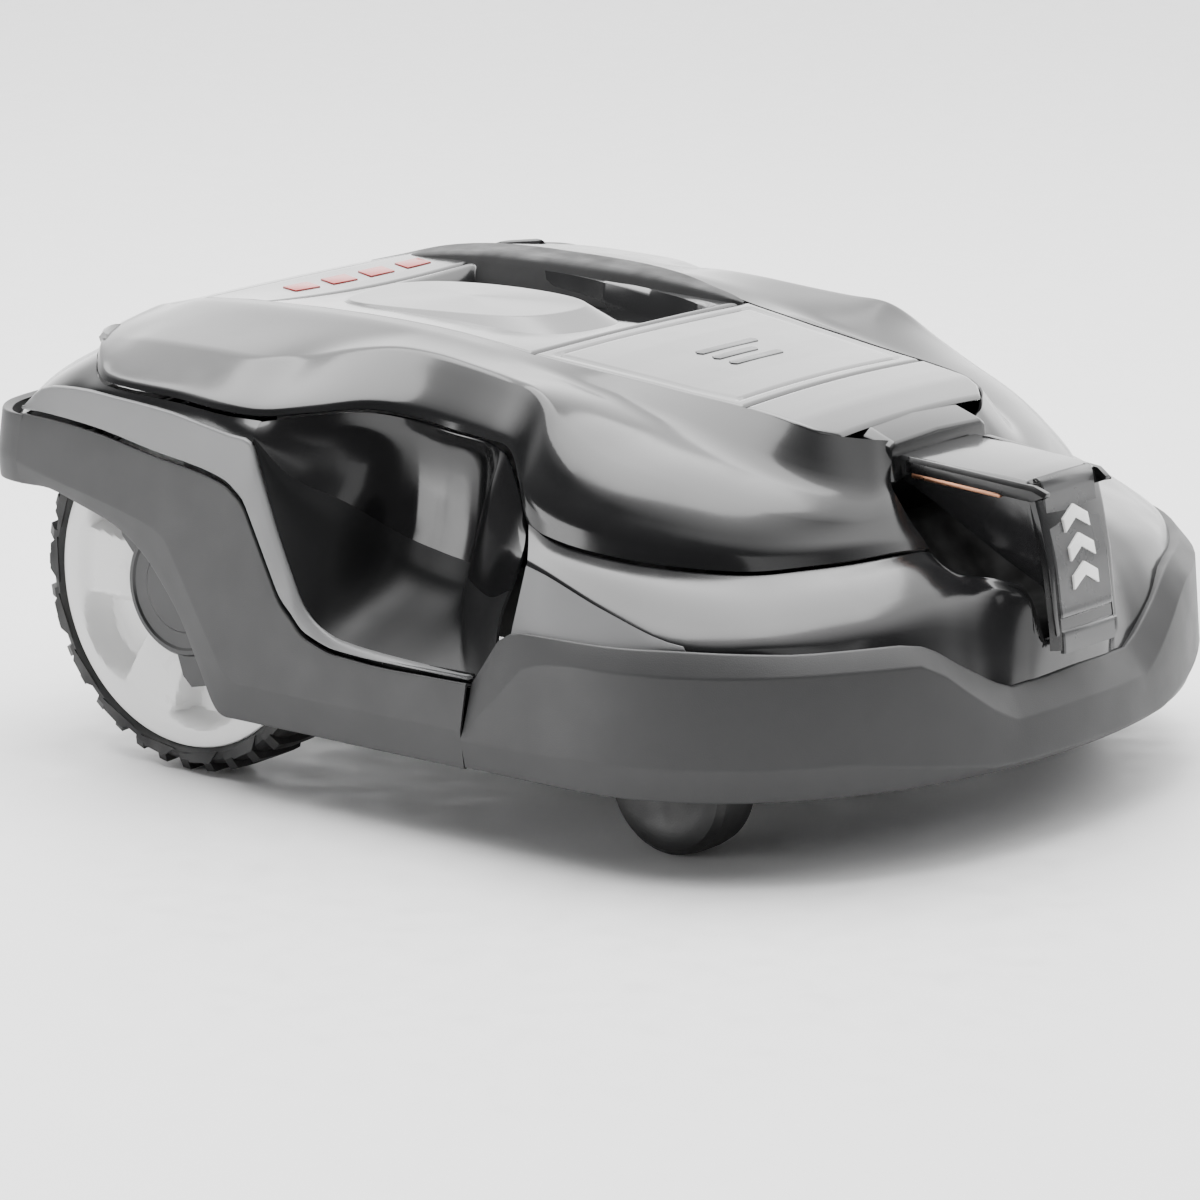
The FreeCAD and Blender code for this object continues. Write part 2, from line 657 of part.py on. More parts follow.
def skid_nut():
    nut = [V(9 * math.cos(math.radians(60 * k)), CUT_Y + 9 * math.sin(math.radians(60 * k)), CUT_Z - 17)
           for k in range(6)]
    return prism(nut, V(0, 0, 3.5)).cut(rod(0, CUT_Y, CUT_Z - 16, CUT_Z, SHAFT_R))


# ---- drive wheels (right one; the left is its mirror image) -----------------------------------
def drive_tyre():
    x0, x1 = -WHEEL_OUT_X, -WHEEL_OUT_X + WHEEL_WIDTH
    tyre = xring(x0 + 2, x1, WHEEL_Y, WHEEL_R, TYRE_R, RIM_R)
    shoulder = xring(x0 + 2, x0 + 6, WHEEL_Y, WHEEL_R, TYRE_R + 1, TYRE_R - 3)
    tyre = tyre.cut(shoulder)
    lugs = []
    for k in range(LUGS):
        lug = box(x0 + 2, -3.5, TYRE_R - 2, x1, 3.5, WHEEL_R)
        lug.rotate(V(0, 0, 0), V(1, 0, 0), 360.0 / LUGS * k + 180)
        lug.translate(V(0, WHEEL_Y, WHEEL_R))
        lugs.append(lug)
    return tyre.fuse(lugs)


def drive_rim():
    x0, x1 = -WHEEL_OUT_X, -WHEEL_OUT_X + WHEEL_WIDTH
    rim = xring(x0 + 2, x1 - 2, WHEEL_Y, WHEEL_R, RIM_R, RIM_R - 4)
    web = xring(x0 + 20, x0 + 24, WHEEL_Y, WHEEL_R, RIM_R - 3, 12)
    hub = xrod(x0 + 8, x1 - 6, WHEEL_Y, WHEEL_R, 24)
    rim = rim.fuse(web).fuse(hub)
    spokes = []
    for k in range(SPOKES):
        spoke = box(x0 + 6, -9, 20, x0 + 22, 9, RIM_R - 2)
        spoke.rotate(V(0, 0, 0), V(1, 0, 0), 360.0 / SPOKES * k + 90)
        spoke.translate(V(0, WHEEL_Y, WHEEL_R))
        spokes.append(spoke)
    rim = rim.fuse(spokes)
    return rim.cut(xrod(x0 - 1, x1 + 1, WHEEL_Y, WHEEL_R, AXLE_R))


def hub_cap():
    x0 = -WHEEL_OUT_X
    cap = xrod(x0 + 1, x0 + 6, WHEEL_Y, WHEEL_R, 34)
    return cap.fuse(xrod(x0, x0 + 2, WHEEL_Y, WHEEL_R, 26)).cut(xrod(x0 + 4, x0 + 9, WHEEL_Y, WHEEL_R, AXLE_R))


def drive_axle():
    return xrod(-WHEEL_OUT_X + 4, -130, WHEEL_Y, WHEEL_R, AXLE_R)


# ---- front wheels ------------------------------------------------------------------------------
def caster_fork():
    y_axle, z_axle = CASTER_Y + CASTER_TRAIL, CASTER_R
    x_in = -CASTER_X + CASTER_WIDTH / 2 + 1.5
    stem = rod(-CASTER_X, CASTER_Y, 86, 118, STEM_R)
    stem = stem.fuse(rod(-CASTER_X, CASTER_Y, 84, 91, 12))
    clip = rod(-CASTER_X, CASTER_Y, 114.4, 116.4, 10)
    top = box(-CASTER_X - 8, CASTER_Y - 9, 84, x_in + 5, y_axle + 9, 89)
    arm = box(x_in, y_axle - 8, z_axle - 8, x_in + 5, y_axle + 8, 89)
    axle = xrod(-CASTER_X - CASTER_WIDTH / 2 + 5, x_in + 1, y_axle, z_axle, CASTER_AXLE_R)
    return stem.fuse(clip).fuse(top).fuse(arm).fuse(axle)


def caster_wheel():
    x0 = -CASTER_X - CASTER_WIDTH / 2
    y, z = CASTER_Y + CASTER_TRAIL, CASTER_R
    wheel = xrod(x0, x0 + CASTER_WIDTH, y, z, CASTER_R)
    edges = [e for e in wheel.Edges if abs(e.Length - 2 * math.pi * CASTER_R) < 1]
    wheel = wheel.makeFillet(5, edges)
    wheel = wheel.cut(xrod(x0 + 4, x0 + CASTER_WIDTH + 1, y, z, CASTER_AXLE_R + RUN))
    return wheel.cut(xring(x0 + CASTER_WIDTH - 6, x0 + CASTER_WIDTH + 1, y, z, 30, 12))


# ---- write every piece ---------------------------------------------------------------------------
save("top_cover", top_cover())
save("body_shell", body_shell())
save("tail_shell", tail_shell())
save("front_bumper", front_bumper())
save("rear_skirt", rear_skirt())
save_pair("side_skirt", side_skirt())
save_pair("side_strip", side_strip())
save("nose_block", nose_block())
save("nose_plate", nose_plate())
save("nose_badge", nose_badge())
save("charge_rails", charge_rails())
save("contact_strips", contact_strips())
save("deck_front", deck_front())
save("deck_rear", deck_rear())
save("handle_bar", handle_bar())
save("hatch_cover", hatch_cover())
save("hatch_pins", hatch_pins())
save("stop_button", stop_button())
save("suspension_posts", suspension_posts())
save("lift_collars", lift_collars())
save("lower_chassis", lower_chassis())
save("upper_chassis", upper_chassis())
save("chassis_seal", chassis_seal())
save("caster_bushes", caster_bushes())
save("display", display())
save("keypad_frame", keypad_frame())
for number, (key_x, key_y) in enumerate(KEYS, 1):
    save("key_%d" % number, key(key_x, key_y))
save("battery_pack", battery_pack())
save("main_board", main_board())
save_pair("gearmotor", gearmotor())
save("chassis_screws", chassis_screws())
save("main_switch", main_switch())
save("cutter_guide", cutter_guide())
save("cutter_carrier", cutter_carrier())
save("cutting_motor", cutting_motor())
save("height_knob", height_knob())
save("blade_disc", blade_disc())
save("disc_fasteners", Part.makeCompound([blade_screws(), skid_nut()]))
for number in range(BLADES):
    save("blade_%d" % (number + 1), blade(number))
save("skid_plate", skid_plate())
save_pair("drive_tyre", drive_tyre())
save_pair("drive_rim", drive_rim())
save_pair("hub_cap", hub_cap())
save_pair("drive_axle", drive_axle())
save_pair("caster_fork", caster_fork())
save_pair("caster_wheel", caster_wheel())
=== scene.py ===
import bpy, bmesh, math
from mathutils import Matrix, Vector


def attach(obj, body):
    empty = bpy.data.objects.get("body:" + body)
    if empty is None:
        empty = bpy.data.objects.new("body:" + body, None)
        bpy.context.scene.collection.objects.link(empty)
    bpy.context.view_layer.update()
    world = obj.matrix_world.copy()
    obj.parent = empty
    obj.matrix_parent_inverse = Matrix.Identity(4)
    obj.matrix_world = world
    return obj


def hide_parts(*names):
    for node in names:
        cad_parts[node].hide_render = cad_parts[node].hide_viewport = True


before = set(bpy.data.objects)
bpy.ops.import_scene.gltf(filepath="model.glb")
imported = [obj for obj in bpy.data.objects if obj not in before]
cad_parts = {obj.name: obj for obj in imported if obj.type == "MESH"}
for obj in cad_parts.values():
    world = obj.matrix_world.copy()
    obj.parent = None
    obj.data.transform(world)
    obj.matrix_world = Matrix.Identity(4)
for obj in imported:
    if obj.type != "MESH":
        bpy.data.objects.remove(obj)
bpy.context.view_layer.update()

# Robotic lawn mower.  Shapes are written in millimetres: +Z up, the nose faces -Y, and the
# machine's right side is -X.  Pieces that lie on the middle plane are made as their right
# half and mirrored.
MM = 0.001


# ---- curves and sections ----
def mix(a, b, t):
    """The point a share t of the way from a to b."""
    return tuple(p + (q - p) * t for p, q in zip(a, b))


def spline(points, steps):
    """Smooth open curve through the points, with the same number of steps in every span."""
    pts = [Vector(p) for p in points]
    last = len(pts) - 1
    gaps = [max((ahead - here).length, 1e-6) ** 0.5 for here, ahead in zip(pts, pts[1:])]

    def slope(i):
        if i == 0:
            return (pts[1] - pts[0]) / gaps[0]
        if i == last:
            return (pts[-1] - pts[-2]) / gaps[-1]
        before, after = gaps[i - 1], gaps[i]
        back, ahead = (pts[i] - pts[i - 1]) / before, (pts[i + 1] - pts[i]) / after
        return (back * after + ahead * before) / (before + after)

    out = []
    for i, gap in enumerate(gaps):
        m0, m1 = slope(i) * gap, slope(i + 1) * gap
        for k in range(steps):
            t = k / steps
            out.append(tuple(pts[i] * (2 * t ** 3 - 3 * t ** 2 + 1) + m0 * (t ** 3 - 2 * t ** 2 + t)
                             + pts[i + 1] * (3 * t ** 2 - 2 * t ** 3) + m1 * (t ** 3 - t ** 2)))
    out.append(tuple(pts[-1]))
    return out


def columns_to_rows(rows, steps):
    """Runs a smooth curve down every column of a table of points."""
    columns = [spline(column, steps) for column in zip(*rows)]
    return [list(row) for row in zip(*columns)]


LONGEST_CORNER = 0.48                   # of a span, so that two corners never meet


def rounded(line, radii, arc=4, spans=2):
    """A section with its inner corners rounded.  A radius under 1 is a share of the span."""
    pts = [Vector(p) for p in line]
    out = [tuple(pts[0])]
    last = pts[0]
    for i in range(1, len(pts) - 1):
        to_last, to_next = pts[i - 1] - pts[i], pts[i + 1] - pts[i]
        r = radii[i - 1]
        a = to_last.length * r if r < 1 else min(r, to_last.length * LONGEST_CORNER)
        b = to_next.length * r if r < 1 else min(r, to_next.length * LONGEST_CORNER)
        start = pts[i] + to_last.normalized() * a
        end = pts[i] + to_next.normalized() * b
        for k in range(1, spans):
            out.append(tuple(last.lerp(start, k / spans)))
        for k in range(arc + 1):
            t = k / arc
            out.append(tuple(start * (1 - t) ** 2 + pts[i] * (2 * t * (1 - t)) + end * t ** 2))
        last = end
    for k in range(1, spans + 1):
        out.append(tuple(last.lerp(pts[-1], k / spans)))
    return out


def table(pairs, x):
    """Straight-line lookup in a list of (x, value)."""
    if x <= pairs[0][0]:
        return pairs[0][1]
    for (x0, v0), (x1, v1) in zip(pairs, pairs[1:]):
        if x <= x1:
            return v0 + (v1 - v0) * (x - x0) / (x1 - x0)
    return pairs[-1][1]


def ease(t):
    """Smooth step from 0 to 1."""
    t = min(max(t, 0.0), 1.0)
    return t * t * (3 - 2 * t)


# ---- meshes ----
def grid_faces(rows, cols, wrap_rows=False, wrap_cols=False):
    faces = []
    for i in range(rows if wrap_rows else rows - 1):
        for j in range(cols if wrap_cols else cols - 1):
            a, b = i * cols + j, i * cols + (j + 1) % cols
            c, d = ((i + 1) % rows) * cols + (j + 1) % cols, ((i + 1) % rows) * cols + j
            faces.append((a, b, c, d))
    return faces


def mirrored(verts, faces):
    count = len(verts)
    verts = list(verts) + [(-x, y, z) for x, y, z in verts]
    return verts, list(faces) + [tuple(reversed([i + count for i in f])) for f in faces]


def flip_x(verts, faces):
    return [(-x, y, z) for x, y, z in verts], [tuple(reversed(f)) for f in faces]


def finish_mesh(ob, limit):
    """Bakes the modifiers in and marks the sharp edges, so that shading is smooth between them."""
    bpy.context.view_layer.update()
    dg = bpy.context.evaluated_depsgraph_get()
    mesh = bpy.data.meshes.new_from_object(ob.evaluated_get(dg))
    ob.modifiers.clear()
    old = ob.data
    ob.data = mesh
    bpy.data.meshes.remove(old)
    mesh.name = ob.name
    bm = bmesh.new()
    bm.from_mesh(mesh)
    for f in bm.faces:
        f.smooth = True
    for e in bm.edges:
        e.smooth = len(e.link_faces) == 2 and e.calc_face_angle(0) < math.radians(limit)
    bm.to_mesh(mesh)
    bm.free()


WELD = 0.02                             # points closer than this are one point
MACHINE_MIDDLE = (0, 0, 60)


def piece(name, verts, faces, mat, body, slot, stands_for=(), wall=0.0, bevel=0.0, segments=3,
          sub=0, limit=32, closed=False, outward=None, bevel_angle=30):
    """One named piece.  An open sheet faces away from the point outward and gets a wall behind it."""
    mesh = bpy.data.meshes.new(name)
    bm = bmesh.new()
    points = [bm.verts.new(Vector(v) * MM) for v in verts]
    for f in faces:
        if len(set(f)) > 2:
            try:
                bm.faces.new([points[i] for i in f])
            except ValueError:
                pass
    bmesh.ops.remove_doubles(bm, verts=bm.verts, dist=WELD * MM)
    loose = [v for v in bm.verts if not v.link_faces]
    bmesh.ops.delete(bm, geom=loose, context="VERTS")
    bmesh.ops.recalc_face_normals(bm, faces=bm.faces)
    if not closed:
        middle = Vector(outward or MACHINE_MIDDLE) * MM
        bm.normal_update()
        lean = sum(f.normal.dot(f.calc_center_median() - middle) * f.calc_area() for f in bm.faces)
        if lean < 0:
            bmesh.ops.reverse_faces(bm, faces=bm.faces)
    bm.to_mesh(mesh)
    bm.free()
    ob = bpy.data.objects.new(name, mesh)
    bpy.context.collection.objects.link(ob)
    if sub:
        m = ob.modifiers.new("Subdivision", "SUBSURF")
        m.levels = m.render_levels = sub
    if wall:
        m = ob.modifiers.new("Wall", "SOLIDIFY")
        m.thickness, m.offset = wall * MM, -1
    if bevel:
        m = ob.modifiers.new("Bevel", "BEVEL")
        m.width, m.segments, m.limit_method = bevel * MM, segments, "ANGLE"
        m.angle_limit = math.radians(bevel_angle)
        m.use_clamp_overlap = True
    finish_mesh(ob, limit)
    mesh = ob.data
    mesh.materials.clear()
    mesh.materials.append(mat)
    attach(ob, body)
    if stands_for:
        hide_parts(*stands_for)
    return ob


def sheet(name, rows, mat, body, slot, both=False, flip=False, **more):
    """A piece from rows of points: as written, with its mirror image, or only mirrored."""
    verts = [p for row in rows for p in row]
    faces = grid_faces(len(rows), len(rows[0]))
    if both:
        verts, faces = mirrored(verts, faces)
    if flip:
        verts, faces = flip_x(verts, faces)
    return piece(name, verts, faces, mat, body, slot, **more)


def merged(parts):
    verts, faces = [], []
    for v, f in parts:
        faces += [tuple(i + len(verts) for i in face) for face in f]
        verts += list(v)
    return verts, faces


def prism(outline, step):
    """Closed solid: a polygon pushed along a vector."""
    n = len(outline)
    top = [tuple(a + b for a, b in zip(p, step)) for p in outline]
    faces = [tuple(range(n)), tuple(reversed(range(n, 2 * n)))]
    faces += [(i, i + n, (i + 1) % n + n, (i + 1) % n) for i in range(n)]
    return list(outline) + top, faces


def solids(name, parts, mat, body, slot, **more):
    """A piece made of closed solids."""
    verts, faces = merged(parts)
    return piece(name, verts, faces, mat, body, slot, closed=True, **more)


def loft_solid(rings):
    """Closed solid through a row of outlines with equally many points."""
    n = len(rings[0])
    verts = [p for ring in rings for p in ring]
    faces = grid_faces(len(rings), n, wrap_cols=True)
    faces += [tuple(range(n)), tuple(range((len(rings) - 1) * n, len(rings) * n))]
    return verts, faces


def turned(profile, center, count):
    """Revolves (outward, radius) about the line along X through center; outward is -X."""
    rings = []
    for k in range(count):
        a = 2 * math.pi * k / count
        rings.append([(center[0] - u, center[1] + r * math.cos(a),
                       center[2] + r * math.sin(a)) for u, r in profile])
    return [p for ring in rings for p in ring], grid_faces(count, len(profile), wrap_rows=True)


# ---- materials ----
DUST_COLOR = (0.42, 0.40, 0.36, 1)
EVEN, BRUSHED = (1, 1, 1), (1, 22, 22)  # how the fine grain is stretched
GRAIN_DEPTH = 0.0004                    # metres
UNEVEN = 0.25                           # share by which a finish varies in roughness


def material(name, color, rough, metallic=0.0, coat=0.0, coat_rough=0.05, grain=0.0, grain_size=900.0,
             uneven=0.0, spread=0.06, dust=0.0, scratch=0.0, specular=0.5):
    """Moulded or metal finish: fine grain in the surface, slow change of tone, light wear."""
    mat = bpy.data.materials.new(name)
    mat.use_nodes = True
    tree = mat.node_tree
    tree.nodes.clear()
    new, link = tree.nodes.new, tree.links.new
    out, bsdf = new("ShaderNodeOutputMaterial"), new("ShaderNodeBsdfPrincipled")
    link(bsdf.outputs[0], out.inputs[0])
    bsdf.inputs["Metallic"].default_value = metallic
    bsdf.inputs["Coat Weight"].default_value = coat
    bsdf.inputs["Coat Roughness"].default_value = coat_rough
    bsdf.inputs["Specular IOR Level"].default_value = specular
    coord = new("ShaderNodeTexCoord")

    def noise(scale, detail, stretch=None):
        n = new("ShaderNodeTexNoise")
        n.inputs["Scale"].default_value = scale
        n.inputs["Detail"].default_value = detail
        if stretch:
            m = new("ShaderNodeMapping")
            m.inputs["Scale"].default_value = stretch
            link(coord.outputs["Object"], m.inputs["Vector"])
            link(m.outputs[0], n.inputs["Vector"])
        else:
            link(coord.outputs["Object"], n.inputs["Vector"])
        return n

    def remap(source, low, high, start=0.3, stop=0.7):
        n = new("ShaderNodeMapRange")
        n.inputs["From Min"].default_value, n.inputs["From Max"].default_value = start, stop
        n.inputs["To Min"].default_value, n.inputs["To Max"].default_value = low, high
        link(source, n.inputs["Value"])
        return n.outputs[0]

    tone = noise(14.0, 3.0)
    shade = new("ShaderNodeMix")
    shade.data_type = "RGBA"
    dark = [c * (1 - spread) for c in color]
    light = [min(1.0, c * (1 + spread)) for c in color]
    shade.inputs[6].default_value, shade.inputs[7].default_value = (*dark, 1), (*light, 1)
    link(remap(tone.outputs[0], 0, 1), shade.inputs[0])
    result = shade.outputs[2]
    if dust:
        film = noise(30.0, 8.0)
        mixed = new("ShaderNodeMix")
        mixed.data_type = "RGBA"
        mixed.inputs[7].default_value = DUST_COLOR
        link(result, mixed.inputs[6])
        link(remap(film.outputs[0], 0, dust, 0.5, 0.75), mixed.inputs[0])
        result = mixed.outputs[2]
    link(result, bsdf.inputs["Base Color"])
    wear = noise(45.0, 6.0)
    link(remap(wear.outputs[0], rough * (1 - UNEVEN - uneven), rough * (1 + UNEVEN + uneven)),
         bsdf.inputs["Roughness"])
    if grain or scratch:
        fine = noise(grain_size, 2.0, BRUSHED if scratch else EVEN)
        bump = new("ShaderNodeBump")
        bump.inputs["Strength"].default_value = max(grain, scratch)
        bump.inputs["Distance"].default_value = GRAIN_DEPTH
        link(fine.outputs[0], bump.inputs["Height"])
        link(bump.outputs[0], bsdf.inputs["Normal"])
    return mat


gloss = material("cover_gloss", (0.0085, 0.0086, 0.009), 0.17, coat=0.15, coat_rough=0.10, grain=0.02,
                 grain_size=500)
fascia_mat = material("fascia_gloss", (0.009, 0.0091, 0.0096), 0.18, coat=0.15, coat_rough=0.12,
                      grain=0.02, grain_size=500)
scoop_mat = material("scoop_gloss", (0.0055, 0.0055, 0.0058), 0.15, coat=0.1, coat_rough=0.1)
scoop_floor_mat = material("scoop_satin", (0.0065, 0.0066, 0.0070), 0.40, grain=0.05, uneven=-0.15,
                           specular=0.22)
skirt_mat = material("skirt_matte", (0.026, 0.0262, 0.0268), 0.50, grain=0.22, grain_size=1400, spread=0.02,
                     uneven=-0.17)
strip_mat = material("strip_satin", (0.17, 0.171, 0.173), 0.38, grain=0.10, grain_size=1400, spread=0.02,
                     uneven=-0.17)
deck_mat = material("deck_satin", (0.018, 0.0182, 0.0188), 0.20, coat=0.8, coat_rough=0.16, grain=0.03,
                    grain_size=700)
handle_mat = material("handle_matte", (0.012, 0.012, 0.0125), 0.62, grain=0.25, grain_size=1500)
nose_mat = material("nose_gloss", (0.016, 0.0162, 0.0168), 0.15, coat=0.3, coat_rough=0.06, grain=0.01)
plate_mat = material("plate_satin", (0.055, 0.0555, 0.0565), 0.30, coat=0.3, grain=0.05)
black_mat = material("rail_black", (0.003, 0.003, 0.0032), 0.28, coat=0.3, grain=0.04)
copper_mat = material("contact_copper", (0.62, 0.31, 0.19), 0.32, metallic=1.0, scratch=0.15,
                      grain_size=260)
white_mat = material("badge_light", (0.90, 0.90, 0.89), 0.30, coat=0.3, grain=0.02, spread=0.02)
tyre_mat = material("tyre_rubber", (0.007, 0.007, 0.0073), 0.62, grain=0.35, grain_size=1100, dust=0.05)
rim_mat = material("rim_white", (0.70, 0.70, 0.695), 0.33, coat=0.15, grain=0.06, spread=0.02)
cap_mat = material("cap_grey", (0.022, 0.0222, 0.023), 0.38, grain=0.12, grain_size=1200)
wheel_mat = material("front_wheel_black", (0.010, 0.010, 0.0104), 0.48, grain=0.22, dust=0.05)
red_mat = material("stop_red", (0.42, 0.025, 0.018), 0.35, coat=0.3, grain=0.08)
chassis_mat = material("chassis_black", (0.008, 0.008, 0.0084), 0.55, grain=0.3, dust=0.06)
# Near-black, barely reflective finish for the trough under the nose: painted shade.
nose_shade_mat = material("painted_shade_black", (0.0015, 0.0015, 0.0016), 0.75, grain=0.1, specular=0.15)
mark_mat = material("mark_grey", (0.10, 0.101, 0.103), 0.34, grain=0.05)

# ---- lid, sides and front of the floating shell: feature lines ----
# One row per rib of the top cover, tail to nose: slit, lip, shoulder, middle, foot of the
# centre panel's flank, edge of the centre panel.
RIBS = [
    ((0, 288, 228), (0, 289.5, 232), (0, 286, 235.5), (0, 283, 237.5), (0, 279, 239.5), (0, 268.5, 240.5)),
    ((-75, 284, 229), (-74, 285, 233), (-72, 282, 236), (-68, 280, 238),
     (-62, 276, 239.8), (-60, 268, 240.8)),
    ((-150, 269, 231), (-147, 270, 236), (-140, 270, 239), (-125, 272, 240.5),
     (-111, 273, 241.5), (-103, 268, 241.5)),
    ((-198, 245, 233), (-190, 248, 238), (-175.5, 256.6, 238.6), (-145.5, 265.6, 240.6),
     (-121, 270, 242.5), (-111, 268.5, 242.2)),
    ((-222, 225, 233), (-212, 232, 238), (-192.8, 246.7, 238.2), (-157.8, 257.7, 240.2),
     (-124, 263, 243), (-112.5, 265, 243)),
    ((-234, 213, 226), (-228, 216, 233), (-195, 229.1, 238.7), (-156, 239.1, 243.7),
     (-124, 240, 248), (-113, 242, 248.3)),
    ((-238, 203, 223), (-235, 203, 228), (-198, 210.1, 240.7), (-156, 212.1, 246.2),
     (-123, 208, 250.8), (-111, 208, 251)),
    ((-238, 147, 220), (-235.5, 147, 225), (-198, 154.1, 241.2), (-154, 159.1, 246.7),
     (-122, 155, 252.4), (-110, 155, 252.6)),
    ((-238, 112, 217.5), (-235, 112, 222.5), (-196, 125.1, 240.2), (-151, 129.1, 247),
     (-121, 120, 252.6), (-109, 120, 252.6)),
    ((-230, 92, 216), (-227, 92, 221), (-179, 106.1, 240.2), (-146, 105.1, 247.2),
     (-120, 96, 252), (-108, 96, 252)),
    ((-213, 71, 218), (-209, 71, 223), (-163.9, 83.4, 245), (-136.9, 82.4, 248),
     (-119, 74, 251), (-107, 74, 251)),
    ((-191, 48, 219.5), (-188, 48, 225), (-154.7, 59, 247.8), (-133.7, 59, 248.6),
     (-118, 53, 249.8), (-106, 53, 249.4)),
    ((-181, 24, 217), (-178.5, 24, 223), (-153.5, 31.6, 247.4), (-133.5, 31.6, 246.9),
     (-117, 28, 247), (-104, 27, 246)),
    ((-180, -4, 213), (-178, -4, 220), (-156.3, 0.1, 244.7), (-135.3, 2.1, 243.2),
     (-116, 0, 241.6), (-101.5, 0, 241.7)),
    ((-184, -32, 211.8), (-182, -32, 219), (-160.7, -28.9, 242.1), (-136.7, -28.9, 239.6),
     (-115, -29, 235.5), (-98, -28, 238.4)),
    ((-190, -53, 210), (-188, -53, 217), (-166, -50, 240.3), (-140, -50, 236),
     (-114, -52, 230), (-95, -50, 235.8)),
    ((-197, -65.5, 194.5), (-194, -64, 203), (-171, -63, 234.5), (-142, -68, 231),
     (-113.5, -72, 226), (-92.5, -72, 233.4)),
    ((-203, -76, 175), (-202, -75, 190), (-181, -76, 222), (-147, -88, 224),
     (-113, -94, 220.5), (-90, -96, 230.6)),
    ((-206, -98.5, 168.4), (-204, -98, 182), (-187, -100, 207), (-150, -108, 215.5),
     (-112, -118, 214.5), (-87, -120, 228.2)),
    ((-197, -141, 162), (-195, -139, 175), (-178, -136, 195), (-146, -137, 206),
     (-110, -146, 206), (-85, -146, 225.2)),
    ((-176, -177, 158), (-174, -174, 169), (-160, -168, 185), (-136, -165, 196),
     (-105, -171, 198), (-84, -166, 221.5)),
    ((-158, -197, 156.5), (-156, -193, 166), (-144, -188, 179), (-124, -188, 188),
     (-96, -190, 192), (-79, -180, 217)),
    ((-133, -213, 157), (-131, -209, 165), (-121, -205, 174), (-105, -207, 181),
     (-82, -205, 187), (-66, -190, 214)),
    ((-108, -225, 157.5), (-106, -221, 165), (-98, -218, 171), (-86, -216, 178),
     (-69, -211, 185), (-53, -198, 211.5)),
    ((-77, -236, 158.5), (-76, -232, 164), (-72, -226, 171), (-66, -220, 179),
     (-57, -211, 187), (-44, -201, 210)),
    ((-58, -241, 157), (-57.5, -237, 162), (-57, -229, 169), (-56, -221, 178),
     (-52, -210, 188), (-40, -203, 209)),
]
CRISP, SOFT = (0.35, 0.10, 0.45, 0.30), (0.30, 0.46, 0.48, 0.30)     # how rounded each line is
SOFT_FROM, SOFT_TO = 15, 19         # ribs over which the shoulder line fades out
RIB_STEPS = 5


def cover():
    rows = []
    for i, row in enumerate(columns_to_rows(RIBS, RIB_STEPS)):
        share = ease((i / RIB_STEPS - SOFT_FROM) / (SOFT_TO - SOFT_FROM))
        rows.append(rounded(row, mix(CRISP, SOFT, share), arc=5, spans=3))
    return rows


sheet("top_cover_skin", cover(), gloss, "shell", "cover_gloss", both=True, wall=2.4, limit=40,
      stands_for=("top_cover",))

# Flank between the slit and the bumper, scoop to nose: slit, upper belly, ridge, bumper line.
FLANK = [
    ((-203, -77, 174), (-214, -86, 167), (-226, -95, 160), (-240.5, -92, 110)),
    ((-206, -99.5, 166.4), (-216, -104, 163), (-228, -110, 156.5), (-241.5, -112, 120)),
    ((-197, -142, 160), (-213, -148, 154.5), (-229, -153, 142), (-239.5, -159, 121)),
    ((-176, -178, 156), (-199, -192, 147), (-225, -200, 129), (-222, -203, 121)),
    ((-158, -198, 154.5), (-179, -214, 144), (-197, -229, 129.5), (-197, -233, 120)),
    ((-133, -214, 155), (-149, -233, 146), (-162, -250, 131.5), (-163, -258, 119)),
    ((-108, -226, 155.5), (-120, -245, 148.5), (-133, -264, 134), (-138, -271, 117)),
    ((-77, -237, 156.5), (-86, -254, 151.5), (-98, -273, 138), (-108, -282.5, 111)),
    ((-58, -242, 155), (-66, -257, 149), (-76, -277.5, 138), (-87, -288.5, 98)),
    ((-51, -247, 146), (-56, -262, 145.5), (-62, -281, 137), (-70, -292, 86)),
    ((-50, -264, 144), (-50, -272, 143.5), (-52, -284.5, 136), (-58, -294.5, 83)),
    ((-45, -281, 143), (-45, -284, 141), (-46, -290, 134), (-48, -295.5, 83)),
    ((-40, -292, 139), (-40, -293.5, 136), (-40, -295.5, 128), (-41, -296.3, 83)),
    ((-36, -300, 112), (-36, -299.8, 108), (-36, -299, 103), (-36, -296.8, 83)),
    ((-18, -301.5, 110), (-18, -301.3, 106), (-18, -300.5, 101), (-18, -297.6, 83)),
    ((0, -302, 110), (0, -301.8, 106), (0, -301, 101), (0, -298, 83)),
]
flank = columns_to_rows(FLANK, 5)
RIDGE_CRISP, RIDGE_SOFT = (0.4, 0.08), (0.46, 0.42)
RIDGE_FROM, RIDGE_FADE = 8, 10         # row where the ridge begins to fade, and over how many rows
rows = [rounded(row, mix(RIDGE_CRISP, RIDGE_SOFT, ease((i - RIDGE_FROM) / RIDGE_FADE)), arc=6, spans=3)
        for i, row in enumerate(flank)]
sheet("front_flank_skin", rows, fascia_mat, "shell", "cover_gloss", both=True, wall=2.2, limit=40,
      stands_for=("body_shell",))

# Light-grey triangle below the ridge, a little outside the flank: a painted reflection on the glossy flank,
# made as a thin light sheet.
REFLECTION_ROWS, REFLECTION_SPANS = 16, 5
rows = []
for row in flank[:REFLECTION_ROWS]:
    top, low = mix(row[2], row[3], 0.05), mix(row[2], row[3], 1.0)
    line = (mix(top, low, k / REFLECTION_SPANS) for k in range(REFLECTION_SPANS + 1))
    rows.append([(x - 0.5, y - 0.1, z) for x, y, z in line])
sheet("painted_reflection_patch", rows, strip_mat, "shell", "strip_satin", both=True, wall=0.6, limit=40)

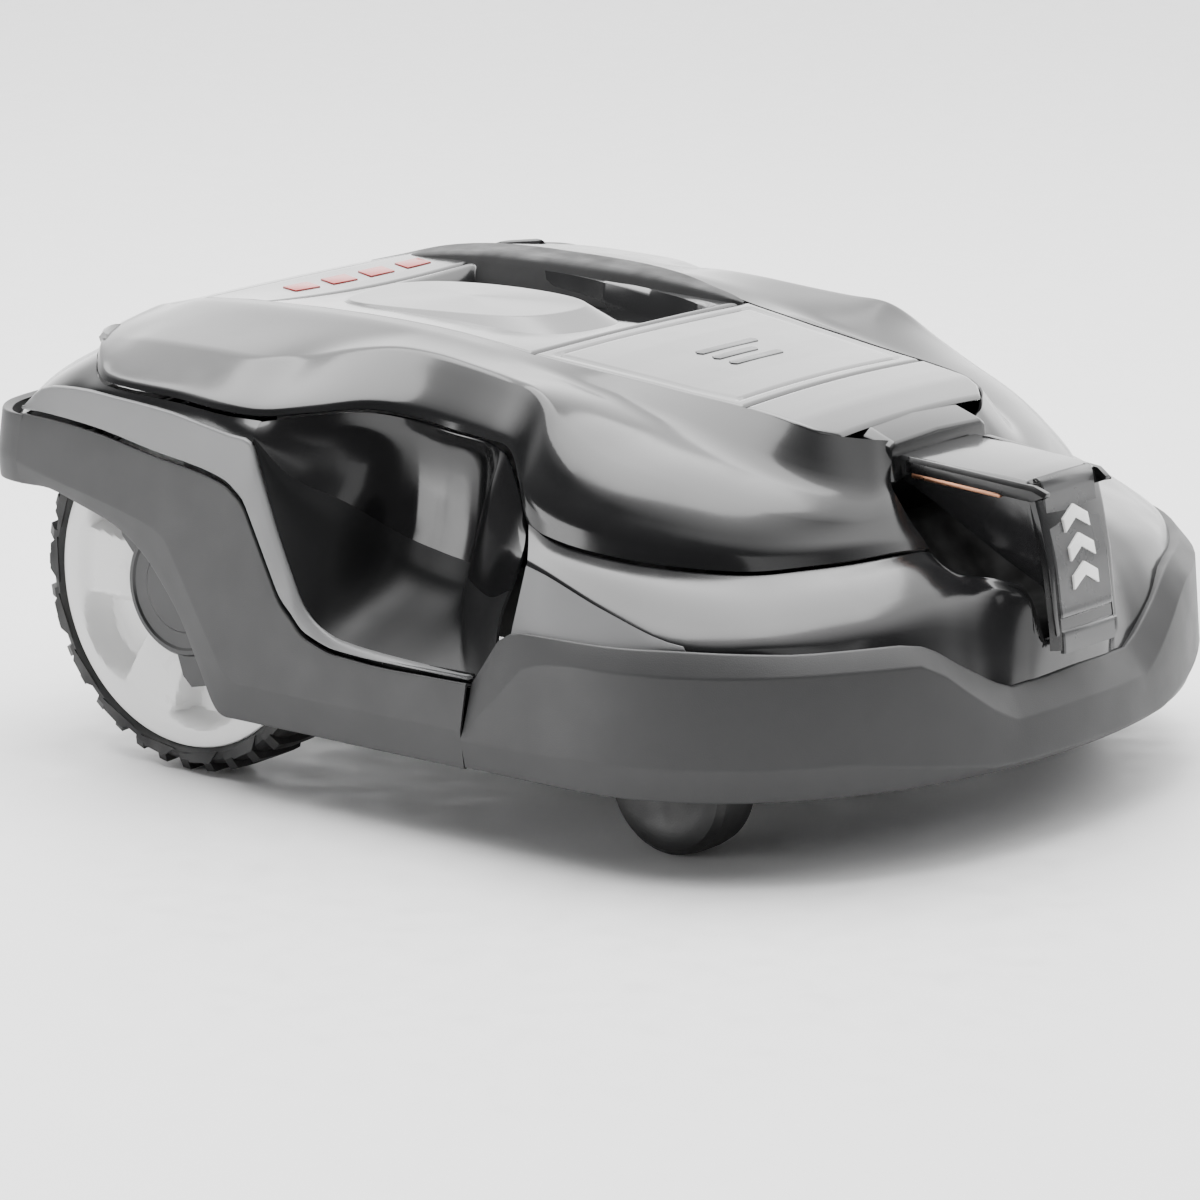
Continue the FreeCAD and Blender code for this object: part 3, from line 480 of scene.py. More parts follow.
# Scoop behind the flank: from the slit down to the strip, tail to nose.
SCOOP = [
    ((-232, 91, 213), (-238, 90, 210), (-241, 89, 207), (-241.5, 88, 205), (-242, 87, 203)),
    ((-213, 72, 216), (-217, 72, 206), (-226, 71, 194), (-237.5, 70, 176), (-242, 68, 149)),
    ((-191, 50, 217), (-190, 49, 205), (-200, 47, 184), (-224, 46, 156), (-242, 49, 113)),
    ((-181, 26, 214.5), (-176, 26, 203), (-179, 27, 170), (-192, 28, 128), (-242, 30, 100)),
    ((-180, -3, 210.5), (-174, -3, 203), (-178, -3, 165), (-190, -3, 120), (-242, -4, 95.5)),
    ((-184, -30, 209.5), (-178, -30, 199), (-182, -28, 160), (-192, -22, 120), (-242, -36, 94)),
    ((-188, -42, 208.5), (-190, -40, 192), (-192, -32, 155), (-196, -23, 122), (-241, -62, 93)),
    ((-191, -51, 206), (-200, -45, 186), (-203, -38, 155), (-206, -32, 121), (-242, -67, 92)),
    ((-197, -64, 192), (-207, -62, 176), (-214, -62, 150), (-226, -64, 118), (-243, -78, 93)),
    ((-203, -75, 173), (-212, -82, 165), (-226, -89, 157), (-240, -86, 130), (-243, -86, 110)),
]
scoop = columns_to_rows(SCOOP, 5)
middle = [mix(row[2], row[3], 0.5) for row in scoop]
rows = [rounded([*row[:3], mid], (0.42, 0.48), arc=5, spans=2) for row, mid in zip(scoop, middle)]
sheet("scoop_skin", rows, scoop_mat, "shell", "cover_gloss", both=True, wall=1.6, limit=50)
rows = [rounded([mid, row[3], row[4]], (0.48,), arc=7, spans=3) for row, mid in zip(scoop, middle)]
sheet("scoop_floor_skin", rows, scoop_floor_mat, "shell", "cover_gloss", both=True, wall=1.6, limit=50)

# Side wall above the strip and round the tail: slit, belly, top of the strip or rear skirt.
SIDE = [
    ((-232, 91, 213.5), (-239, 90, 209), (-241.5, 89, 202)),
    ((-238, 112, 215), (-240, 112, 211), (-242, 112, 204)),
    ((-238, 147, 217.5), (-240, 147, 214), (-242, 147, 207)),
    ((-238, 203, 220.5), (-240.5, 203, 217), (-242, 204, 211)),
    ((-234, 214, 223.5), (-239, 219, 218), (-242, 224, 210)),
    ((-222, 226, 230.5), (-234, 236, 222), (-242, 246, 206)),
    ((-198, 246, 230.5), (-222, 263, 216), (-240, 272, 194)),
    ((-150, 270, 228.5), (-180, 287, 214), (-205, 297, 192)),
    ((-75, 285, 226.5), (-88, 299, 211), (-100, 307, 192)),
    ((0, 289, 225.5), (0, 302, 210), (0, 309.5, 192)),
]
rows = [rounded(row, (0.5,), arc=6, spans=2) for row in columns_to_rows(SIDE, 5)]
sheet("tail_skin", rows, gloss, "shell", "cover_gloss", both=True, wall=2.0, limit=40,
      stands_for=("tail_shell",))

# ---- bumper ----
# The plan is straight back to STRAIGHT_Y and a superellipse in front of it.  The tables give the
# height of the top edge, the crease and the lower crease along the half width or along y.
STRAIGHT_Y, FULLNESS = -139.0, 2.11
TOP_HALF, CREASE_HALF = 244, 251        # half widths of the top edge and of the crease
SIDE_YS = (-70, -74, -79, -83, -88, -92, -96, -100, -104, -110, -116, -122, -130)
FRONT_HALVES = (243.9, 243, 241, 238, 234, 229, 223, 216, 208, 199, 189, 178, 166, 154, 142, 134, 127,
                121, 116, 111, 106, 101, 96, 91, 86, 80, 74, 68, 62, 56, 45, 30, 15, 0)
TOP_FRONT = [(0, 90), (56, 88), (70, 93), (96, 107), (112, 117), (121, 121), (135, 123.5), (162, 124),
             (187, 124), (231, 127), (244, 126)]
OUT_FRONT = [(0, 73), (63, 72), (80, 80), (99, 93), (115, 105), (131, 113), (170, 114), (251, 114)]
LOW_FRONT = [(0, 50), (80, 50), (130, 58), (170, 64), (251, 64)]
TOP_SIDE = [(-139, 126), (-104, 125), (-96, 123), (-88, 118), (-79, 105), (-70, 92)]
OUT_SIDE = [(-139, 114), (-122, 111), (-110, 107), (-90, 85), (-70, 66.5)]


def bumper_rows():
    rows = []
    for y in SIDE_YS:
        top, out = table(TOP_SIDE, y), table(OUT_SIDE, y)
        rows.append([(-234, y, top - 3), (-243.4, y, top), (-251.2, y, out), (-253.7, y, 62), (-249.5, y, 45),
                     (-246, y, 45), (-246, y, 58)])
    for half in FRONT_HALVES:
        t = math.acos((half / TOP_HALF) ** (FULLNESS / 2))

        def at(width, front, z):
            x = -width * math.cos(t) ** (2 / FULLNESS)
            y = STRAIGHT_Y - (front + STRAIGHT_Y) * math.sin(t) ** (2 / FULLNESS)
            return (x, y, z)
        top = table(TOP_FRONT, half)
        out = table(OUT_FRONT, half * CREASE_HALF / TOP_HALF)
        low = table(LOW_FRONT, half * CREASE_HALF / TOP_HALF)
        rows.append([at(234, 289, top - 3), at(243.4, 299.5, top), at(251.2, 310.2, out),
                     at(253.7, 314.7, min(low, out - 8)), at(249.5, 307.5, 45), at(246, 303, 45),
                     at(246, 303, 58)])
    return [rounded(row, (1.4, 1.3, 1.6, 1.3, 1.3), arc=4, spans=2) for row in rows]


sheet("bumper_skin", bumper_rows(), skirt_mat, "shell", "skirt_matte", both=True, wall=1.8, limit=35,
      stands_for=("front_bumper",))

# ---- side skirts, trim strips and rear skirt ----
# Upper edge, bevel line and lower edge, as (y, z), nose to tail.
SKIRT = [
    ((-69, 92), (-69, 66), (-69, 44)), ((-40, 91.5), (-40, 66), (-40, 44)), ((-5, 91), (0, 66), (0, 44)),
    ((20, 92.3), (30, 66), (35, 44)), ((30, 93), (55, 66), (60, 44)), ((42, 96.5), (80, 66), (85, 44)),
    ((50, 100), (91, 66), (100, 44)), ((58, 108), (97, 67), (107, 44)), ((66, 116), (102, 69.5), (112, 46)),
    ((73, 129), (106, 73), (117, 52)), ((79, 141), (112, 83), (122, 62)), ((86, 155), (122, 99), (128, 74)),
    ((93, 168), (133, 118), (140, 97)), ((99, 173), (141, 131), (153, 114)),
    ((105, 177), (147, 141), (168, 130)), ((124, 182), (157, 147), (189, 143)),
    ((160, 187), (190, 155.5), (215, 151)), ((200, 194), (222, 162), (240, 157.5)),
    ((235, 197.5), (246, 167), (254, 157.5)), ((262.5, 198.8), (262.5, 171), (262.5, 157.3)),
]
STRIP = [
    ((-69, 93.3), (-69, 94.6)), ((-5, 92.3), (-4, 97)), ((20, 93.3), (20, 99)), ((30, 94.2), (30, 101)),
    ((42, 97.7), (44, 108)), ((50, 101.2), (53, 117)), ((58, 109.2), (60, 131)), ((66, 117.2), (66, 144)),
    ((73, 130.2), (72, 158)), ((79, 142.2), (77, 171)), ((86, 156.2), (84, 189)), ((93, 169.2), (90, 203.5)),
    ((99, 174.3), (105, 206)), ((105, 178.3), (124, 209)), ((124, 183.3), (150, 213)),
    ((160, 188.3), (190, 216)), ((200, 195.3), (224, 217.5)), ((235, 198.7), (250, 214)),
    ((263, 200), (264, 202)),
]


def skirt_rows():
    rows = []
    for (ty, tz), (by, bz), (ly, lz) in SKIRT:
        line = [(-243, ty, tz - 1.2), (-247.6, ty, tz), (-252.6, by, bz), (-249.4, ly, lz), (-246.2, ly, lz),
                (-246.2, ly - 1, lz + 8)]
        rows.append(rounded(line, (1.2, 1.4, 1.2, 1.2), arc=4, spans=3))
    return columns_to_rows(rows, 3)


def strip_rows():
    rows = []
    for (ly, lz), (ty, tz) in STRIP:
        line = [(-242.5, ly, lz + 1.0), (-247.0, ly, lz + 1.6), (-243.6, ty, tz), (-240, ty + 0.5, tz - 0.2)]
        rows.append(rounded(line, (1.0, 2.2), arc=4, spans=3))
    return columns_to_rows(rows, 3)


for side in ("right", "left"):
    other = side == "left"
    inside = (200 if other else -200, 60, 100)
    sheet("side_skirt_skin_" + side, skirt_rows(), skirt_mat, "shell", "skirt_matte", flip=other,
          wall=1.4, limit=38, outward=inside, stands_for=("side_skirt_" + side,))
    sheet("side_strip_skin_" + side, strip_rows(), strip_mat, "shell", "strip_satin", flip=other,
          wall=1.2, limit=38, outward=inside, stands_for=("side_strip_" + side,))

# Black sheets behind the seams, so that no daylight shows through them: painted shade standing in for the
# dark inside of the seams.
rows = [[(-240.6, y, z + dz) for dz in (-7, -1, 4)] for (y, z), *_ in SKIRT[:11]]
sheet("seam_painted_shade", rows, black_mat, "shell", "rail_black", both=True, wall=0.8, limit=40)
# Painted shade: a black sheet behind the seam at the bumper's corner.
rows = [[(-244.4, y, z) for z in (48, 62, 76, 89)] for y in (-78, -70, -62)]
sheet("corner_painted_shade", rows, black_mat, "shell", "rail_black", both=True, wall=0.8, limit=40)

# Outline of the rear skirt seen from above, from the side skirt to the middle, as (x, y).
TAIL = [(-250.6, 263.4), (-249.5, 272), (-245.5, 283), (-236, 293), (-221, 301.5), (-190, 307.5),
        (-150, 311), (-100, 313), (-50, 314.4), (0, 314.6)]


def tail_rows():
    rows = []
    for x, y in TAIL:
        toward = Vector((x * 0.6, y - 120, 0)).normalized()

        def at(inward, z):
            return (x - toward.x * inward, y - toward.y * inward, z)
        line = [at(9, 196.5), at(3.4, 198.3), at(0.3, 172), at(1.2, 157.5), at(4.6, 157.5), at(4.6, 166)]
        rows.append(rounded(line, (1.6, 3.0, 1.4, 1.4), arc=4, spans=3))
    return columns_to_rows(rows, 5)


sheet("rear_skirt_skin", tail_rows(), skirt_mat, "shell", "skirt_matte", both=True, wall=1.4, limit=38,
      stands_for=("rear_skirt",))

# ---- centre panel ----
# Outer edge of the panel, nose to tail, as (y, half width, z), and how far its middle stands higher.
EDGE = [(-204, 50, 211.8), (-190, 66, 214.5), (-178, 80, 218.5), (-168, 84.2, 221.8), (-155, 84.5, 224),
        (-137.5, 85.5, 226.4), (-120, 87, 228.2), (-96, 90, 230.6), (-72, 92.5, 233.4), (-50, 95, 235.8),
        (-28, 98, 238.4), (0, 101.5, 241.7), (27, 104, 246), (53, 106, 249.4), (74, 107, 251), (96, 108, 252),
        (120, 109, 252.6), (155, 110, 252.6), (208, 111, 251), (242, 113, 248.3), (268, 106, 242)]
EDGE_X = [(y, x) for y, x, z in EDGE]
EDGE_Z = [(y, z) for y, x, z in EDGE]
CROWN = [(-204, 2.4), (-30, 2.4), (5, 1.2), (25, -2.5), (50, -5.5), (185, -6.0), (215, -2.5), (240, 0.5),
         (268, 1.0)]


def deck_height(x, y):
    """The centre panel is crowned in front and dished round the hump."""
    half = table(EDGE_X, y)
    return table(EDGE_Z, y) + table(CROWN, y) * (1 - min(abs(x) / half, 1.0) ** 2)


PANEL_GAP, PANEL_LIP = 1.1, 1.4         # seam beside each piece, and how far its edge rolls down
ROLL = 1.6                              # width of the rolled edge


def steps(start, stop, size):
    """Evenly spaced values from start to stop, about size apart."""
    count = max(1, round(abs(stop - start) / size))
    return [start + (stop - start) * i / count for i in range(count + 1)]


def panel(name, y0, y1, mat, slot, stands_for, body="shell", change=None, fine=5.0):
    """One piece of the centre panel, with a rolled edge all round and a change of height inside."""
    ys = [y0, y0 + 0.5, y0 + 1.5] + steps(y0 + 3, y1 - 3, fine) + [y1 - 1.5, y1 - 0.5, y1]
    shares = [-1, -0.994, -0.984, -0.966] + steps(-0.94, 0.94, 0.03) + [0.966, 0.984, 0.994, 1]
    rows = []
    for y in ys:
        half = table(EDGE_X, y) - PANEL_GAP
        row = []
        for s in shares:
            x = s * half
            edge = min(half - abs(x), y - y0, y1 - y)
            z = deck_height(x, y) - PANEL_LIP * max(0.0, 1 - edge / ROLL) ** 2
            if change:
                z += change(x, y)
            row.append((x, y, z))
        rows.append(row)
    return sheet(name, rows, mat, body, slot, wall=2.0, limit=48, stands_for=stands_for)


HATCH_FRONT, HATCH_REAR = -133.0, 3.0
GROOVE_INSET, GROOVE_DEPTH, GROOVE_HALF = 9.0, 0.9, 1.6


def groove(x, y):
    """Shallow line inside the hatch's outline."""
    half = table(EDGE_X, y) - PANEL_GAP
    inset = min(half - abs(x), HATCH_REAR - y, y - HATCH_FRONT)
    return -GROOVE_DEPTH * max(0.0, 1 - abs(inset - GROOVE_INSET) / GROOVE_HALF)


def nose_fall(x, y):
    """The front piece dips under the hood."""
    return -3.0 * ease((-184 - y) / 22)


panel("deck_front_skin", -188.0, -134.8, deck_mat, "deck_satin", ("deck_front", "hatch_pins"),
      change=nose_fall, fine=3.5)
panel("hatch_skin", HATCH_FRONT, HATCH_REAR, deck_mat, "deck_satin", ("hatch_cover",), body="hatch",
      change=groove, fine=2.0)

HOLE = (4.0, 76.0, 9.0, 190.0)         # hand hole beside the hump: x0, x1, y0, y1
HOLE_DEPTH, HOLE_SLOPE = 24.0, 9.0


def hand_hole(x, y):
    x0, x1, y0, y1 = HOLE
    inside = min(x - x0, x1 - x, y - y0, y1 - y)
    return -HOLE_DEPTH * ease(inside / HOLE_SLOPE)


panel("deck_rear_skin", 4.6, 194.6, deck_mat, "deck_satin", ("deck_rear",), change=hand_hole, fine=3.0)
panel("deck_tail_skin", 244.4, 267.5, deck_mat, "deck_satin", (), fine=2.5)
panel("stop_skin", 196.2, 242.8, deck_mat, "stop_red", ("stop_button",), body="stop", fine=2.5)


def on_deck(outline, height):
    """A flat shape (x, y) raised on the centre panel, with its foot sunk in."""
    return prism([(x, y, deck_height(x, y) - 0.4) for x, y in outline], (0, 0, height))


# Red bars on the stop plate.
BAR_COUNT, BAR_PITCH = 4, 34
bars = []
for i in range(BAR_COUNT):
    x0 = -66 + BAR_PITCH * i
    bars.append(on_deck([(x0, 212), (x0 + 22, 212), (x0 + 27, 227), (x0 + 5, 227)], 1.1))
solids("stop_bars", bars, red_mat, "stop", "stop_red", bevel=0.35, segments=2)

# Hump: base ring and top ring, then a smooth skin.
HUMP_BASE = [(-86, 178, 244), (-89, 130, 244), (-83, 85, 243.5), (-76, 48, 243), (-68, 22, 241.5),
             (-50, 8, 240), (-22, 5, 239.5), (0, 7, 239.5), (9, 22, 240), (11, 60, 240), (8, 110, 240),
             (-4, 160, 240), (-22, 180, 243), (-54, 184, 244)]
HUMP_TOP = [(-79, 168, 250.6), (-80, 130, 251.6), (-74, 90, 252.2), (-66, 62, 252.0), (-55, 48, 251.4),
            (-38, 40, 251.2), (-20, 37, 251.4), (-6, 38, 252.0), (1, 48, 253.4), (2, 72, 255.0),
            (-2, 112, 255.8), (-13, 150, 255.2), (-28, 166, 253.8), (-54, 171, 252.0)]


HUMP_X, HUMP_Y, HUMP_Z = -36, 105, 254.6


def hump():
    rings = [HUMP_BASE] + [[mix(b, t, share) for b, t in zip(HUMP_BASE, HUMP_TOP)]
                           for share in (0.45, 0.86, 0.97)] + [HUMP_TOP]
    for share in (0.95, 0.85, 0.5, 0.2):
        rings.append([(HUMP_X + (x - HUMP_X) * share, HUMP_Y + (y - HUMP_Y) * share,
                       z + (HUMP_Z - z) * (1 - share)) for x, y, z in HUMP_TOP])
    n = len(HUMP_BASE)
    verts = [p for ring in rings for p in ring] + [(HUMP_X, HUMP_Y, HUMP_Z + 0.1)]
    faces = grid_faces(len(rings), n, wrap_cols=True)
    last = (len(rings) - 1) * n
    faces += [(last + i, last + (i + 1) % n, len(verts) - 1) for i in range(n)]
    return verts, faces


verts, faces = hump()
piece("hump_skin", verts, faces, deck_mat, "shell", "deck_satin", sub=2, limit=60,
      outward=(-36, 105, 200))

# Carrying handle, tail to nose: foot of the inner flank, inner crest, outer crest, outer flank.
ARCH = [((56, 264, 240.5), (58, 264, 243), (66, 266, 243.5), (72, 268, 241)),
        ((60, 250, 239), (63, 250, 245.5), (82, 253, 247), (90, 256, 243)),
        ((64, 230, 238), (70, 231, 250.5), (98, 234, 252), (106, 236, 247)),
        ((67, 205, 237), (75, 205, 254), (107, 207, 255.2), (114, 208, 249.5)),
        ((68, 174, 236), (78, 174, 256), (109, 175, 256.6), (115.5, 176, 250.8)),
        ((69, 146, 235), (79, 146, 256.4), (109, 147, 256.8), (115.5, 147, 251)),
        ((70, 88, 233), (80, 88, 256), (107, 88, 256.2), (113, 88, 250.6)),
        ((73, 50, 233), (82, 52, 254), (103, 53, 254), (109, 54, 247.8)),
        ((78, 26, 234), (86, 27, 250.5), (99, 29, 250.2), (105, 30, 244.8)),
        ((86, 10, 238), (91, 8, 245.5), (98, 9, 245.6), (102, 10, 242.3)),
        ((94, 3, 240.5), (96, 3, 242.8), (99, 4, 242.8), (101, 5, 241.6))]


def handle_rows():
    rows = []
    for foot, crest, far, outer in ARCH:
        start, end = (foot[0] + 1, foot[1], foot[2] - 2), (outer[0], outer[1], outer[2] - 3)
        rows.append(rounded([start, foot, crest, far, outer, end], (0.3, 0.16, 0.2, 0.3), arc=5, spans=3))
    return columns_to_rows(rows, 5)


sheet("handle_skin", handle_rows(), handle_mat, "shell", "handle_matte", wall=1.2, limit=50,
      outward=(84, 130, 235), stands_for=("handle_bar",))

# Raised generic mark on the hatch: three rounded bars.
MARK_X = -22
parts = []
for x1, y in ((30, -58), (14, -70), (22, -82)):
    parts.append(on_deck([(MARK_X, y), (x1, y), (x1 + 2, y + 3), (x1, y + 6), (MARK_X, y + 6),
                          (MARK_X - 2, y + 3)], 1.0))
solids("hatch_mark", parts, mark_mat, "hatch", "deck_satin", bevel=0.3, segments=2)

# ---- hood and nose ----
# Right half of the hood, rear to front: top edge, outer edge, side, foot.
HOOD = [((-40, -177, 217.5), (-48, -179, 214), (-54, -186, 201), (-55, -195, 191)),
        ((-41, -190, 214.5), (-47.5, -191, 211), (-52, -198, 197), (-51, -203, 187)),
        ((-41.5, -205.6, 208.8), (-46, -205.8, 205.6), (-46, -207, 196), (-44, -208, 186))]


def hood_rings():
    rings = []
    for row in HOOD:
        half = [(0.0, row[0][1], row[0][2] + 1.6)] + list(row)
        left = [(-x, y, z) for x, y, z in reversed(half[1:])]
        rings.append(half + [(0.0, row[3][1] + 2, row[3][2] + 6)] + left)
    return rings


solids("hood_skin", [loft_solid(hood_rings())], gloss, "shell", "cover_gloss", bevel=1.6, segments=4,
       bevel_angle=22, limit=40)

# Sections of the nose, rear to front, as (y, half width, lowest z, highest z).
NOSE = [(-204, 38, 188, 201.6), (-222, 37.4, 180, 200.6), (-249, 35.5, 164.5, 199.2),
        (-272, 33.6, 151, 198.2), (-286, 32.2, 143.5, 197.0), (-290.5, 31.6, 141, 193.5),
        (-295.5, 31.2, 138, 177), (-301.5, 30.8, 127, 152), (-305, 30.4, 118, 127), (-307, 30.2, 112, 114)]


def nose_rings():
    rings = []
    for y, half, low, top in NOSE:
        span = top - low
        lean = min(3.0, span * 0.2)
        right = [(0.0, y, top), (-half + 2.4, y, top - 0.4), (-half, y, top - min(2.6, span * 0.3)),
                 (-half + lean, y, low), (0.0, y, low)]
        left = [(-x, y, z) for x, y, z in reversed(right[1:-1])]
        rings.append(right + left)
    return rings


solids("nose_skin", [loft_solid(nose_rings())], nose_mat, "shell", "cover_gloss", bevel=1.2,
       bevel_angle=25, limit=35, stands_for=("nose_block",))

# Front plate with a recess near its foot, and the black bands beside it.
FACE = [(-288.5, 197.4), (-291.2, 195.2), (-294.6, 177), (-301.6, 152), (-305.6, 127), (-306.4, 122),
        (-305.2, 120.5), (-305.6, 115), (-307.6, 113.6), (-308.6, 108), (-309, 102)]


def plate_rows(x0, x1, forward, points):
    rows = []
    for y, z in points:
        rows.append([(x0, y - forward + 3, z - 0.2), (x0, y - forward + 0.8, z), (x0 + 0.8, y - forward, z),
                     ((x0 + x1) / 2, y - forward - 0.3, z), (x1 - 0.8, y - forward, z),
                     (x1, y - forward + 0.8, z), (x1, y - forward + 3, z - 0.2)])
    return rows


INSIDE_NOSE = (0, -250, 150)
sheet("nose_plate_skin", columns_to_rows(plate_rows(-25, 25, 0.6, FACE), 4), plate_mat, "shell",
      "cover_gloss", wall=1.4, limit=40, outward=INSIDE_NOSE, stands_for=("nose_plate",))
bands = []
for sign in (-1, 1):
    lines = [[(sign * 25.6, y + 0.2, z), (sign * 28.5, y + 1.2, z), (sign * 31.4, y + 4.5, z)]
             for y, z in FACE[1:5] + [(-307.6, 113.6), (-308.2, 104)]]
    grid = columns_to_rows(lines, 4)
    bands.append(([p for row in grid for p in row], grid_faces(len(grid), 3)))
verts, faces = merged(bands)
piece("nose_bands", verts, faces, black_mat, "shell", "rail_black", wall=1.2, limit=40,
      outward=INSIDE_NOSE)


def on_face(z, forward):
    """The y of the plate's face at height z, moved forward."""
    return -abs(table(sorted((zz, yy) for yy, zz in FACE), z)) - forward


# Generic white badge: three stacked chevrons.
chevrons = []
for z0 in (135, 150.5, 166):
    outline = [(-12, z0), (-12, z0 + 7.5), (0, z0 + 14), (12, z0 + 7.5), (12, z0), (0, z0 + 6.5)]
    chevrons.append(prism([(x, on_face(z, 0.4), z) for x, z in outline], (0, -2.0, 0)))
solids("badge_chevrons", chevrons, white_mat, "shell", "badge_light", bevel=0.5,
       stands_for=("nose_badge",))

# Charging rails along the nose's upper edges, with a copper strip under each.
RAIL = ((-212, 202.2, 39.2), (-216, 202.0, 39.6), (-292, 195.6, 34.6), (-299, 192.0, 32.5))
COPPER = ((-216, 193.0, 39.4), (-272, 188.6, 35.6))      # both as (y, top z, half width)
RAIL_TIP_Y = -295                       # past this the rail is thin
rails, coppers = [], []
for sign in (-1, 1):
    rings, strips = [], []
    for y, top, half in RAIL:
        depth = 9.5 if y > RAIL_TIP_Y else 3.0
        rings.append([(sign * (half - 5), y, top - 1.0), (sign * (half - 1.5), y, top - 0.8),
                      (sign * (half + 0.4), y, top - 3.4), (sign * (half + 0.6), y, top - depth),
                      (sign * (half - 5), y, top - depth)])
    rails.append(loft_solid(rings))
    for y, z, half in COPPER:
        strips.append([(sign * (half + 0.9), y, z), (sign * (half + 0.9), y, z - 2.6),
                       (sign * (half - 2), y, z - 2.6), (sign * (half - 2), y, z)])
    coppers.append(loft_solid(strips))
solids("rail_skin", rails, black_mat, "shell", "rail_black", bevel=0.7, stands_for=("charge_rails",))
solids("copper_skin", coppers, copper_mat, "shell", "contact_copper", bevel=0.3, segments=2,
       stands_for=("contact_strips",))

# Near-black matte trough under the nose: painted shade filling the hollow between the flank and the nose.
WELL_RIM = [(-58, -204, 190), (-59, -212, 186), (-59, -217, 179), (-56, -232, 162), (-55, -243, 152),
            (-50, -249, 143), (-49.5, -264, 143), (-45, -281, 142), (-40, -293, 138), (-35.5, -302, 112)]
rows = []
for x, y, z in WELL_RIM:
    rows.append([(x, y, z), (x + 7, y + 3, z - 9), (x + 18, y + 6, z - 22), (-14, y + 8, z - 26),
                 (0, y + 8, z - 26)])
sheet("nose_painted_shade", columns_to_rows(rows, 4), nose_shade_mat, "shell", "rail_black", both=True, wall=1.5, limit=50,
      outward=(0, -250, 80))

# ---- wheels ----
# Profiles are (depth behind the outer face, radius) unless they say (x, radius).
AXLE_Y, AXLE_Z = 155.0, 108.0
OUTER_X, INNER_X = 233.5, 187.0
LUG_COUNT = 36
LUG_TURN, LUG_SKEW = 0.040, 0.03        # half a lug, and how far its middle is swept, in radians
TYRE = [(8, 91), (3, 93.5), (1.2, 96), (2.4, 99.5), (6, 102.3), (12, 103.6), (34.5, 103.6), (40.5, 102.3),
        (44, 99.5), (45.2, 96), (43.5, 93.5), (38.5, 91)]
LUG = ((1.6, 95.5, 100.5, 0.0), (6, 99, 107.2, LUG_SKEW * 0.4), (22.5, 101, 107.7, LUG_SKEW),
       (40, 99, 107.2, LUG_SKEW * 0.4), (44.8, 95.5, 100.5, 0.0))    # depth, inner and outer radius, sweep


def tyre():
    profile = [(OUTER_X - u, r) for u, r in TYRE]
    parts = [turned(profile + profile[:1], (0, AXLE_Y, AXLE_Z), 144)]
    for k in range(LUG_COUNT):
        a = 2 * math.pi * k / LUG_COUNT

        def at(u, r, da):
            return (-(OUTER_X - u), AXLE_Y + r * math.cos(a + da), AXLE_Z + r * math.sin(a + da))
        rings = []
        for u, low, high, shift in LUG:
            rings.append([at(u, low, shift - LUG_TURN), at(u, high, shift - LUG_TURN * 0.72),
                          at(u, high, shift + LUG_TURN * 0.72), at(u, low, shift + LUG_TURN)])
        parts.append(loft_solid(rings))
        if k % 2 == 0:
            wedge = [at(0.6, 95.2, -0.11), at(0.6, 101.5, -0.03), at(0.6, 101.5, 0.12), at(0.6, 97.0, 0.17)]
            parts.append(prism(wedge, (4.0, 0, 0)))
    return merged(parts)


POCKETS = 5
POCKET_TURN = math.radians(139)
POCKET_DEPTH, POCKET_SLOPE = 15.0, 8.0
POCKET_END = [(0, 83.0), (0.55, 80.5), (1, 76)]      # outer radius of a pocket, middle to side
FLANGE_R = 84
FLANGE = [(84, 0.0), (90.5, 0.2), (92.2, 1.0), (93.2, 3.0)]     # radius, depth
RIM_STEPS = 240


def rim_depth(r, a):
    """How far the white rim's face lies behind its outer plane, in mm."""
    step = 2 * math.pi / POCKETS
    off = (a - POCKET_TURN + step / 2) % step - step / 2
    half_angle = step / 2 - (15.0 + (r - 40) * 0.10) / max(r, 1)
    side = (half_angle - abs(off)) * r
    outer = table(POCKET_END, min(abs(off) / max(half_angle, 0.01), 1))
    inside = min(side, outer - r + 1.0, r - 41.0)
    bowl = 3.0 * ease((FLANGE_R - r) / 14) + 2.0 * ease((60 - r) / 30)
    return bowl + POCKET_DEPTH * ease(inside / POCKET_SLOPE)


def rim():
    radii = [20, 34, 38, 40] + steps(41, 83, 1.4) + [84.5, 86, 88.5, 90.5, 92.2, 93.2]
    rows = []
    for k in range(RIM_STEPS):
        a = 2 * math.pi * k / RIM_STEPS
        row = []
        for r in radii:
            depth = rim_depth(r, a) if r < FLANGE_R else table(FLANGE, r)
            row.append((-(OUTER_X - 2.0 - depth), AXLE_Y - r * math.cos(a), AXLE_Z + r * math.sin(a)))
        row.append((-(OUTER_X - 12), row[-1][1], row[-1][2]))
        row.append((-(INNER_X + 4), row[-1][1], row[-1][2]))
        rows.append(row)
    return [p for row in rows for p in row], grid_faces(RIM_STEPS, len(rows[0]), wrap_rows=True)


CAP = [(226, 40), (231.5, 39.6), (233.2, 38.2), (233.4, 35.8), (232.2, 34.6), (232.0, 26), (232.8, 24.8),
       (233.0, 10), (232.8, 0.01)]      # (x, radius)
TAB_X = -225
TABS = ((30, -13), (50, -11), (57, -6), (57, 6), (50, 11), (30, 13))     # radius, sideways


def cap():
    parts = [turned(CAP, (0, AXLE_Y, AXLE_Z), 96)]
    for degrees in (139, 283, 67):
        a = math.radians(degrees)
        along, across = (-math.cos(a), math.sin(a)), (math.sin(a), math.cos(a))

        outline = [(TAB_X, AXLE_Y + along[0] * r + across[0] * s, AXLE_Z + along[1] * r + across[1] * s)
                   for r, s in TABS]
        parts.append(prism(outline, (-6.5, 0, 0)))
    return merged(parts)


CASTER_AXLE = (-180.0, -166.0, 40.0)
CASTER = [(-17.4, 8), (-17.6, 22), (-18, 23), (-18, 31), (-16.5, 36), (-12.5, 39.2), (-6, 40), (6, 40),
          (12.5, 39.2), (16.5, 36), (18, 31), (18, 23), (17.6, 22), (17.4, 8)]     # (x, radius)


